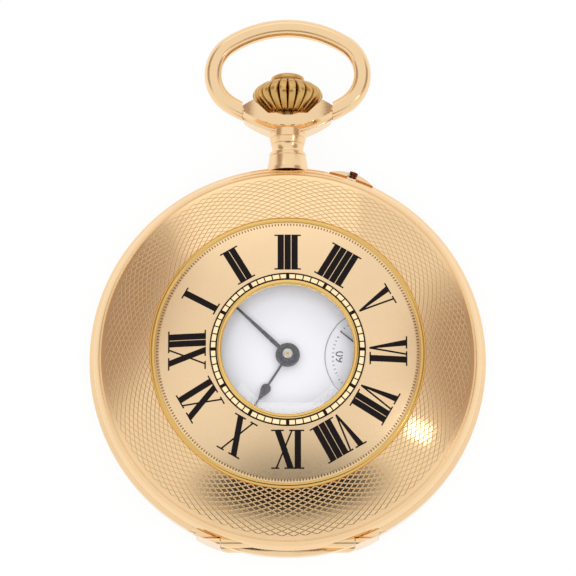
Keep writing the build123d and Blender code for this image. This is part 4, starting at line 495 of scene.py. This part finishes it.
def joined(spans, nearest):
    """Neighbouring serifs run into one line."""
    result = []
    for low, high in sorted(spans):
        if result and low - result[-1][1] < nearest:
            result[-1][1] = max(high, result[-1][1])
        else:
            result.append([low, high])
    return result


def lay_round(bm, angle, foot_radius, height_at, lift, centre=(0.0, 0.0)):
    """Carries flat drawing, up along +Y, to its place in a ring, feet toward the middle."""
    out = Vector((cos(angle), sin(angle)))
    across = Vector((sin(angle), -cos(angle)))
    for vertex in bm.verts:
        flat = out * (foot_radius + vertex.co.y) + across * vertex.co.x
        vertex.co = (centre[0] + flat.x, centre[1] + flat.y, height_at(flat.length) + lift)


HOURS = {"I": 150, "II": 120, "III": 90, "IIII": 60, "V": 30, "VI": 0,
         "VII": -30, "VIII": -60, "IX": -90, "X": -120, "XI": -150, "XII": 180}


def thicken(bm, depth):
    """Gives flat drawing a thickness, its front upwards."""
    bmesh.ops.recalc_face_normals(bm, faces=bm.faces)
    for face in bm.faces:
        if face.normal.z < 0:
            face.normal_flip()
    bmesh.ops.solidify(bm, geom=bm.faces[:], thickness=depth)


def numeral_ring(foot_radius, height, stem, serif, hair, gap, height_at, lift):
    """The twelve hours round the middle, as thin enamel."""
    ring = bmesh.new()
    for text, degrees in HOURS.items():
        bm = bmesh.new()
        draw_numeral(bm, text, height, stem, serif, hair, gap)
        lay_round(bm, radians(degrees), foot_radius, height_at, lift)
        merge_into(ring, bm)
    thicken(ring, 0.06)
    return ring


def tick_ring(count, low, high, width, thick_every, thick_width, height_at, lift, centre=(0.0, 0.0)):
    """Ticks round a middle, every so many of them thicker."""
    ring = bmesh.new()
    for k in range(count):
        bm = bmesh.new()
        wide = thick_width if k % thick_every == 0 else width
        stroke(bm, (0, wide), (0, wide), (0, high - low))
        lay_round(bm, TURN * k / count, low, height_at, lift, centre)
        merge_into(ring, bm)
    thicken(ring, 0.05)
    return ring


def flat_ring(inner, outer, height_at, lift):
    """A thin ring laid on a surface."""
    depth = 0.05
    middle = (inner + outer) / 2
    return turned([(inner, height_at(inner) + lift - depth), (inner, height_at(inner) + lift),
                   (middle, height_at(middle) + lift), (outer, height_at(outer) + lift),
                   (outer, height_at(outer) + lift - depth)], 240)


def make_lid_numerals():
    """Hours and minute track in enamel on the front cover."""
    piece("lid_numerals", numeral_ring(10.2, 4.75, 0.79, 0.18, 0.22, 0.08, dome, 0.03), "black_enamel",
          "front_lid")
    piece("chapter_band", flat_ring(8.84, 9.74, dome, 0.015), "cream_enamel", "front_lid")
    piece("chapter_line_inner", flat_ring(8.86, 9.04, dome, 0.04), "black_enamel", "front_lid")
    piece("chapter_line_outer", flat_ring(9.58, 9.77, dome, 0.03), "black_enamel", "front_lid")
    ticks = tick_ring(60, 8.9, 9.71, 0.14, 5, 0.42, dome, 0.03)
    piece("chapter_minutes", ticks, "black_enamel", "front_lid")


# Band and hinges

CASE_ROUND = 25.25


def outside_the_round():
    """All that lies outside the round of the case, as one ring."""
    return turned([(CASE_ROUND, -1.0), (32.0, -1.0), (32.0, 17.0), (CASE_ROUND, 17.0), (CASE_ROUND, -1.0)],
                  288)


def make_band():
    """The band as the CAD has it, its ears trimmed to the round of the case, and the hinge pins flush."""
    band = piece("band_and_ears", copy_of_node("case_middle"), "polished_gold", "case", sharp=28)
    carve(band, outside_the_round(), sharp=15)
    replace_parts(band, "case_middle")
    for name, height, replaced in (("front_pin", FRONT_HINGE_HEIGHT, "front_hinge_pin"),
                                   ("back_pin", BACK_HINGE_HEIGHT, "back_hinge_pin")):
        bar = bar_mesh(PIN_RADIUS, -PIN_HALF, PIN_HALF, (HINGE_PLACE, height), 32)
        pin = piece(name, bar, "polished_gold", "case")
        carve(pin, outside_the_round())
        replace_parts(pin, replaced)


# Back cover

BACK_ARC = (10.0, 24.75)
BACK_ROWS = 22
BACK_INNER = 10.45
BACK_OUTER = 23.1


def back_height(radius):
    """Height of the back cover's outside at a radius: flat in the middle, then one arc up to the rim."""
    if radius <= BACK_ARC[0]:
        return 0.0
    return BACK_ARC[1] - sqrt(BACK_ARC[1] ** 2 - (radius - BACK_ARC[0]) ** 2)


def back_skin():
    """The back cover turned in one: flat, bed of the engine turning, border line, rim, lip and inside."""
    flat = [(0.0, 0.0), (9.7, 0.0), (9.74, 0.05), (9.8, 0.05), (9.84, 0.0), (10.0, 0.0)]
    under_band = [(10.42, back_height(10.42)), (10.45, back_height(10.45) + 0.08)]
    under_band += [(r, back_height(r) + 0.09) for r in (13.0, 16.0, 19.0, 21.0)]
    under_band += [(23.1, back_height(23.1) + 0.08)]
    border = [(23.16, back_height(23.16)), (23.22, back_height(23.22) + 0.05), (23.28, back_height(23.28))]
    rim = arc((22.3, 5.85), 2.2, -56, 0, 22)
    lip = [(24.5, 5.98), (24.46, 6.05), (23.95, 6.05), (23.9, 6.0), (23.9, 5.85)]
    inner_rim = arc((22.3, 5.85), 1.6, -6, -57, 10)
    inside = [(r, back_height(r) + 0.62) for r in (22.0, 20.0, 18.0, 16.0, 14.0, 12.0)]
    inside += [(10.0, 0.6), (0.0, 0.6)]
    return turned(flat + under_band + border + rim + lip + inner_rim + inside, 288)


def back_row_place(row):
    """Radius and height of a row of lozenges on the back; the rows widen outwards."""
    radius = BACK_INNER * (BACK_OUTER / BACK_INNER) ** (row / BACK_ROWS)
    return radius, back_height(radius)


def make_back_cover():
    """The back cover's skin, its knuckle and its engine turning."""
    skin = piece("back_cover_skin", back_skin(), "polished_gold", "back_lid", sharp=50)
    carve(skin, hinge_cuts(BACK_HINGE_HEIGHT, 1))
    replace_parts(skin, "back_cover")
    make_knuckle("back_cover_knuckle", BACK_HINGE_HEIGHT, "back_lid")
    engine_turning("back_engine_turning", BACK_ROWS, back_row_place, 0.012, 0.09, "back_lid")


# Crown and bow

CROWN_RIBS = 22
CROWN_PROFILE = [
    (0.0, 32.15), (2.2, 32.15), (2.45, 32.22), (2.75, 32.45), (3.2, 32.85), (3.7, 33.32), (4.08, 33.75),
    (4.32, 34.1), (4.46, 34.45), (4.48, 34.7), (4.42, 35.0), (4.24, 35.32), (3.92, 35.66), (3.52, 35.95),
    (3.1, 36.17), (2.7, 36.32), (2.35, 36.42), (2.04, 36.46), (2.0, 36.58), (2.1, 36.66), (2.14, 36.82),
    (2.08, 37.02), (1.85, 37.22), (1.4, 37.41), (0.9, 37.53), (0.45, 37.6), (0.0, 37.62),
]


def make_crown():
    """The onion-shaped crown: flat ribs between narrow grooves that die out at its foot and its cap."""
    bm = turned(CROWN_PROFILE, CROWN_RIBS * 16)
    cut = bm.verts.layers.float.new("cut")
    for vertex in bm.verts:
        fade = max(0.0, min(1.0, (vertex.co.z - 32.2) / 0.3, (36.42 - vertex.co.z) / 0.12))
        turns = CROWN_RIBS * atan2(vertex.co.y, vertex.co.x) / TURN
        off_rib = abs(turns - round(turns))
        groove = max(0.0, min(1.0, (off_rib - 0.35) / 0.15))
        # cut marks the grooves, where the finish paints shade.
        vertex[cut] = fade * groove
        share = 1 - fade * (0.11 * groove + 0.10 * off_rib ** 2)
        vertex.co.x *= share
        vertex.co.y *= share
    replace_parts(piece("crown_ribs", onto_stem(bm), "ribbed_gold_painted_groove_shade", "crown", sharp=38), "crown")


BOW_TOP = 43.55
BOW_FOOT_BELOW = 36.0
BOW_ARCS = [((0.0, 30.114), 33.29, 20), ((4.85, 37.5), 113.42, 48), ((0.0, 44.886), 13.27, 8)]


def bow_section():
    """The bow's section as (depth, across): flat front and back, a soft outer side, and inside it a fine
    step and a bevel down to the inner face."""
    front = [(0.0, 1.2), (0.35, 1.16), (0.68, 1.0), (0.93, 0.76), (1.04, 0.46), (1.06, 0.1), (1.05, -0.38),
             (0.99, -0.44), (0.97, -0.52), (0.70, -0.85), (0.52, -0.97), (0.0, -1.0)]
    return front + [(-depth, across) for depth, across in front[-2:0:-1]]


def make_bow():
    """The oval bow: one section swept round three tangent arcs, ended square at the yoke, then mirrored."""
    bm = bmesh.new()
    ring = [bm.verts.new((0.0, BOW_TOP + across, STEM_HEIGHT + depth)) for depth, across in bow_section()]
    geom = ring + [bm.edges.new((a, b)) for a, b in zip(ring, ring[1:] + ring[:1])]
    for centre, degrees, steps in BOW_ARCS:
        swept = bmesh.ops.spin(bm, geom=geom, cent=(*centre, STEM_HEIGHT), axis=(0, 0, -1),
                               angle=radians(degrees), steps=steps)
        geom = swept["geom_last"]
    foot = [v for v in bm.verts if v.co.y < BOW_FOOT_BELOW]
    foot += [e for e in bm.edges if all(v.co.y < BOW_FOOT_BELOW for v in e.verts)]
    foot += [f for f in bm.faces if all(v.co.y < BOW_FOOT_BELOW for v in f.verts)]
    cut = bmesh.ops.bisect_plane(bm, geom=foot, plane_co=(YOKE_GAP, 0, 0), plane_no=(1, 0, 0),
                                 clear_inner=True)
    bmesh.ops.contextual_create(bm, geom=[e for e in cut["geom_cut"] if isinstance(e, bmesh.types.BMEdge)])
    bmesh.ops.mirror(bm, geom=bm.verts[:] + bm.edges[:] + bm.faces[:], axis="X", merge_dist=0.001)
    bmesh.ops.remove_doubles(bm, verts=bm.verts, dist=0.001)
    bmesh.ops.recalc_face_normals(bm, faces=bm.faces)
    for side in (-1, 1):
        low, high = sorted((side * 4.95, side * 6.6))
        merge_into(bm, bar_mesh(0.5, low, high, (BOW_PIVOT, STEM_HEIGHT), 24))
    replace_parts(piece("bow_ring", bm, "polished_gold", "bow", sharp=28), "bow")


# Pendant

YOKE_GAP = 5.755
BOW_PIVOT = 32.65
NECK_PROFILE = [
    (0.85, 24.6), (2.6, 24.6), (2.64, 25.0), (2.6, 25.12), (2.36, 26.56), (2.3, 26.62), (2.36, 26.7),
    (2.33, 27.02), (2.2, 27.1), (2.06, 27.16), (1.98, 27.4), (1.98, 27.6), (2.04, 27.95), (2.11, 28.15),
    (2.06, 28.2), (2.14, 28.26), (2.26, 28.7), (2.31, 28.95), (2.26, 29.0), (2.33, 29.06), (2.37, 29.5),
    (2.38, 31.3), (0.85, 31.3), (0.85, 24.6),
]
YOKE_OUTLINE = [
    (0.0, 29.35), (1.6, 29.4), (2.3, 29.6), (3.4, 30.05), (4.2, 30.42), (5.0, 30.85), (5.5, 31.2),
    (5.68, 31.5), (5.745, 31.8), (5.745, 33.05), (4.42, 33.7), (2.5, 31.8), (0.0, 31.8),
]


def yoke_underside(across):
    """Height of the yoke's lower edge at a place across."""
    across = abs(across)
    for (x0, y0), (x1, y1) in zip(YOKE_OUTLINE[:8], YOKE_OUTLINE[1:9]):
        if x0 <= across <= x1:
            return y0 + (y1 - y0) * (across - x0) / (x1 - x0)
    return YOKE_OUTLINE[8][1]


def yoke_depth(across, reach):
    """Half depth of the yoke: swelling in the middle, thin at the ears, hollowed above its lower edge."""
    swell = 1.42 + 1.28 * max(0.0, 1 - (across / 5.8) ** 2) ** 0.75
    rise = max(0.0, min(1.0, (reach - yoke_underside(across)) / 0.8))
    return swell * (0.66 + 0.34 * rise ** 2.4)


def make_pendant():
    """Turned neck with its fine rings, and the yoke that holds the bow and shelters the crown's foot."""
    piece("pendant_neck", onto_stem(turned(NECK_PROFILE, 96)), "polished_gold", "case", sharp=28)
    half = YOKE_OUTLINE[:-1]
    outline = half + [YOKE_OUTLINE[-1]] + [(-x, y) for x, y in half[:0:-1]]
    bm = prism(outline, "Z", -1.0, 1.0)
    for axis, low, step, count in ((0, -5.6, 0.28, 41), (1, 29.5, 0.16, 26)):
        for k in range(count):
            place, normal = [0.0, 0.0, 0.0], [0.0, 0.0, 0.0]
            place[axis], normal[axis] = low + step * k, 1.0
            bmesh.ops.bisect_plane(bm, geom=bm.verts[:] + bm.edges[:] + bm.faces[:], plane_co=place,
                                   plane_no=normal)
    for vertex in bm.verts:
        vertex.co.z = STEM_HEIGHT + vertex.co.z * yoke_depth(vertex.co.x, vertex.co.y)
    bmesh.ops.recalc_face_normals(bm, faces=bm.faces)
    yoke = piece("pendant_yoke", bm, "polished_gold", "case", sharp=32)
    cuts = onto_stem(turned([(0.0, 29.0), (0.85, 29.0), (0.85, 31.4), (2.55, 31.4), (2.75, 31.55),
                             (3.6, 32.4), (4.38, 33.3), (4.66, 33.75), (4.66, 36.0), (0.0, 36.0),
                             (0.0, 29.0)], 96))
    for side in (-1, 1):
        low, high = sorted((side * 4.9, side * 6.2))
        merge_into(cuts, bar_mesh(0.55, low, high, (BOW_PIVOT, STEM_HEIGHT), 24))
    carve(yoke, cuts)
    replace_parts(yoke, "pendant")


# Dial printing and hands

def flat_at(height):
    """The height of a level surface, in the form that dome() has."""
    return lambda radius: height


def make_dial_print():
    """The hunter dial's own numerals and minute track, most of them under the lid."""
    dial_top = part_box("dial")[1].z / MM
    numerals = numeral_ring(13.4, 3.3, 0.42, 0.09, 0.08, 0.11, flat_at(dial_top), 0.015)
    middles = {face: face.calc_center_median() for face in numerals.faces}
    clear = [face for face, middle in middles.items()
             if hypot(middle.x - SECONDS_CENTRE[0], middle.y) < SECONDS_CLEAR]
    bmesh.ops.delete(numerals, geom=clear, context="FACES")
    piece("dial_numerals", numerals, "black_enamel", "case")
    piece("dial_minutes", tick_ring(60, 17.3, 18.1, 0.07, 5, 0.2, flat_at(dial_top), 0.015),
          "black_enamel", "case")
    for name, radius in (("dial_track_inner", 17.3), ("dial_track_outer", 18.1)):
        piece(name, flat_ring(radius - 0.03, radius + 0.03, flat_at(dial_top), 0.015), "black_enamel",
              "case")


def text_mesh(text, size):
    """Plain lettering as a flat mesh, centred."""
    curve = bpy.data.curves.new("lettering", "FONT")
    curve.body = text
    curve.size = size
    curve.align_x = "CENTER"
    curve.align_y = "CENTER"
    carrier = bpy.data.objects.new("lettering", curve)
    scene.collection.objects.link(carrier)
    bpy.context.view_layer.update()
    mesh = bpy.data.meshes.new_from_object(carrier.evaluated_get(bpy.context.evaluated_depsgraph_get()))
    bpy.data.objects.remove(carrier)
    bm = bmesh.new()
    bm.from_mesh(mesh)
    bpy.data.meshes.remove(mesh)
    return bm


def make_seconds_print():
    """Seconds track and figures, with the sixty toward the middle of the watch."""
    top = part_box("seconds_dial")[1].z / MM
    ticks = tick_ring(60, 4.82, 5.08, 0.08, 5, 0.13, flat_at(top), 0.012, SECONDS_CENTRE)
    piece("seconds_ticks", ticks, "black_enamel", "case")
    figures = bmesh.new()
    for seconds in range(10, 70, 10):
        bm = text_mesh(str(seconds), 1.5)
        lay_round(bm, pi - TURN * seconds / 60, 4.02, flat_at(top), 0.012, SECONDS_CENTRE)
        merge_into(figures, bm)
    thicken(figures, 0.04)
    piece("seconds_figures", figures, "black_enamel", "case")
    edge = turned([(5.86, top - 0.02), (5.86, top + 0.02), (5.95, top + 0.06), (5.99, top + 0.156),
                   (5.93, top + 0.156), (5.90, top + 0.1)], 160)
    bmesh.ops.translate(edge, vec=(*SECONDS_CENTRE, 0), verts=edge.verts)
    piece("seconds_dial_edge", edge, "grey_enamel", "case")


def make_guard():
    """The olive round the set pusher, notched in front so that the pin shows in it."""
    guard = piece("guard_olive", copy_of_node("pusher_guard"), "satin_gold", "case", sharp=28)
    out = Vector((cos(radians(GUARD_DEGREES)), sin(radians(GUARD_DEGREES))))
    side = Vector((-out.y, out.x))
    corners = [out * reach + side * across for reach, across in ((24.9, -0.6), (26.5, -0.6), (26.5, 0.6),
                                                                 (24.9, 0.6))]
    carve(guard, prism([tuple(corner) for corner in corners], "Z", STEM_HEIGHT - 0.3, 9.5))
    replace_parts(guard, "pusher_guard")


def make_hand_hub():
    """The minute hand's turned hub, the pin in its middle and the boss under it."""
    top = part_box("minute_hand")[1].z / MM
    hub = turned([(0.0, top + 0.10), (0.5, top + 0.10), (0.54, top + 0.07), (0.6, top + 0.10),
                  (0.98, top + 0.09), (1.02, top + 0.06), (1.08, top + 0.085), (1.4, top + 0.05),
                  (1.5, top - 0.02), (1.5, top - 0.1), (1.3, top - 0.12), (0.0, top - 0.12),
                  (0.0, top + 0.10)], 120)
    piece("hand_hub", hub, "blued_steel", "centre")
    pin_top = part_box("centre_wheel")[1].z / MM
    cap = turned([(0.0, pin_top + 0.12), (0.06, pin_top + 0.11), (0.12, pin_top + 0.06),
                  (0.14, pin_top - 0.04), (0.14, top + 0.08), (0.0, top + 0.08), (0.0, pin_top + 0.12)], 48)
    piece("hand_pin", cap, "steel", "centre", sharp=180)
    sleeve = turned([(0.0, pin_top - 0.3), (0.6, pin_top - 0.3), (1.2, top + 0.1), (1.22, top), (0.0, top),
                     (0.0, pin_top - 0.3)], 60)
    piece("hand_boss", sleeve, "blued_steel", "centre", sharp=180)


# Everything is made here

make_front_cover()
make_milled_row()
make_lid_numerals()
make_band()
make_back_cover()
make_crown()
make_bow()
make_pendant()
make_guard()
make_dial_print()
make_seconds_print()
make_hand_hub()

for name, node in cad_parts.items():
    for place in node.material_slots:
        place.material = FINISHES[FINISH_OF_NODE.get(name) or FINISH_OF[place.material.name.split(".")[0]]]


# Stage, lamps and camera

def lit_backdrop(name, albedo):
    """White as the camera, metal and glass meet it, with the object's own shadow kept faintly.  From below
    it is clear, so that the back can be looked at."""
    shader = Shader(name)
    diffuse = shader.node("BsdfDiffuse", Color=(albedo, albedo, albedo, 1))
    white = shader.node("Emission", Color=(1, 1, 1, 1), Strength=1.0)
    path = shader.node("LightPath")
    seen = shader.node("Math", {"operation": "MAXIMUM"}, n0=path.outputs["Is Camera Ray"],
                       n1=path.outputs["Is Glossy Ray"])
    seen = shader.node("Math", {"operation": "MAXIMUM"}, n0=seen.outputs["Value"],
                       n1=path.outputs["Is Transmission Ray"])
    share = shader.node("Math", {"operation": "MULTIPLY"}, n0=seen.outputs["Value"], n1=0.9)
    mixed = shader.node("MixShader", n0=share.outputs["Value"], n1=diffuse.outputs["BSDF"],
                        n2=white.outputs["Emission"])
    below = shader.node("NewGeometry")
    clear = shader.node("BsdfTransparent")
    sided = shader.node("MixShader", n0=below.outputs["Backfacing"], n1=mixed.outputs["Shader"],
                        n2=clear.outputs["BSDF"])
    return shader.show(sided.outputs["Shader"])


def make_floor():
    """The pale floor, a hair under the watch."""
    bm = bmesh.new()
    bmesh.ops.create_grid(bm, x_segments=1, y_segments=1, size=3.0,
                          matrix=Matrix.Translation((0, 0, -0.02 * MM)))
    mesh = bpy.data.meshes.new("floor")
    bm.to_mesh(mesh)
    bm.free()
    mesh.materials.append(lit_backdrop("pale_floor", 0.9))
    floor = bpy.data.objects.new("floor", mesh)
    scene.collection.objects.link(floor)


def facing_the_watch(direction, distance):
    """The place of a card or lamp that faces the watch from some way off."""
    toward = Vector(direction).normalized()
    return Matrix.Translation(toward * distance) @ toward.to_track_quat("Z", "Y").to_matrix().to_4x4()


def make_card(name, direction, distance, width, height, grey):
    """A soft-edged dark card beside the camera, seen only in the metal."""
    shader = Shader(name)
    bm = bmesh.new()
    bmesh.ops.create_grid(bm, x_segments=1, y_segments=1, size=1.0)
    mesh = bpy.data.meshes.new(name)
    bm.to_mesh(mesh)
    bm.free()
    place = shader.node("TexCoord").outputs["Object"]
    middle = shader.node("TexGradient", {"gradient_type": "SPHERICAL"}, Vector=place)
    soft = shader.node("MapRange", {"interpolation_type": "SMOOTHSTEP"}, Value=middle.outputs["Fac"],
                       From_Max=0.6)
    cloth = shader.node("BsdfDiffuse", Color=(grey, grey * 0.8, grey * 0.7, 1))
    clear = shader.node("BsdfTransparent")
    mixed = shader.node("MixShader", n0=soft.outputs["Result"], n1=clear.outputs["BSDF"],
                        n2=cloth.outputs["BSDF"])
    mesh.materials.append(shader.show(mixed.outputs["Shader"]))
    card = bpy.data.objects.new(name, mesh)
    scene.collection.objects.link(card)
    card.matrix_world = facing_the_watch(direction, distance) @ Matrix.Diagonal((width / 2, height / 2, 1,
                                                                                 1))
    card.visible_camera = False
    card.visible_shadow = False
    card.visible_diffuse = False


def make_lamp(name, direction, distance, size, brightness, colour=(1.0, 1.0, 1.0), mirrored=True):
    """A soft box whose face is as bright as the given multiple of white paper in the studio's light."""
    light = bpy.data.lights.new(name, "AREA")
    light.shape = "RECTANGLE"
    light.size, light.size_y = size
    light.energy = brightness * pi * size[0] * size[1]
    light.color = colour
    lamp = bpy.data.objects.new(name, light)
    scene.collection.objects.link(lamp)
    lamp.matrix_world = facing_the_watch(direction, distance)
    lamp.visible_glossy = mirrored


def make_world():
    """An even white room; the camera sees it as pure white."""
    world = bpy.data.worlds.new("studio")
    scene.world = world
    world.use_nodes = True
    tree = world.node_tree
    tree.nodes.clear()
    output = tree.nodes.new("ShaderNodeOutputWorld")
    seen = tree.nodes.new("ShaderNodeBackground")
    seen.inputs["Strength"].default_value = 1.0
    soft = tree.nodes.new("ShaderNodeBackground")
    soft.inputs["Color"].default_value = (0.97, 0.98, 1.0, 1)
    soft.inputs["Strength"].default_value = 0.95
    path = tree.nodes.new("ShaderNodeLightPath")
    mixed = tree.nodes.new("ShaderNodeMixShader")
    tree.links.new(path.outputs["Is Camera Ray"], mixed.inputs[0])
    tree.links.new(soft.outputs[0], mixed.inputs[1])
    tree.links.new(seen.outputs[0], mixed.inputs[2])
    tree.links.new(mixed.outputs[0], output.inputs[0])


CAMERA_AWAY = 600.0
PICTURE_WIDTH = 73.0


def make_camera():
    """A long lens from a little below the dial's middle, as the photograph was taken."""
    tilt = radians(12.55)
    target = Vector((0.04, 9.54, STEM_HEIGHT)) * MM
    back = Vector((0.0, -sin(tilt), cos(tilt)))
    data = bpy.data.cameras.new("camera")
    data.sensor_width = 36.0
    data.lens = data.sensor_width * CAMERA_AWAY / PICTURE_WIDTH
    camera = bpy.data.objects.new("camera", data)
    scene.collection.objects.link(camera)
    up = Vector((0.0, cos(tilt), sin(tilt)))
    turn = Matrix((Vector((1, 0, 0)), up, back)).transposed().to_4x4()
    camera.matrix_world = Matrix.Translation(target + back * CAMERA_AWAY * MM) @ turn
    scene.camera = camera


make_floor()
make_world()
make_card("card_low", (0.02, -0.45, 0.89), 0.9, 1.15, 0.4, 0.02)
make_card("card_left", (-0.76, 0.36, 0.52), 0.9, 1.3, 0.85, 0.4)
make_card("card_right", (0.80, 0.16, 0.55), 0.9, 1.0, 0.85, 0.42)
make_lamp("lamp_right", (0.60, -0.16, 0.79), 1.0, (0.08, 0.12), 4.0, (1.0, 0.97, 0.92))
make_lamp("lamp_top", (-0.1, 0.82, 0.57), 1.1, (0.9, 0.4), 0.25)
make_lamp("lamp_front", (0.0, -0.3, 0.95), 1.2, (0.8, 0.8), 3.2, mirrored=False)
make_camera()
scene.view_settings.view_transform = "Standard"
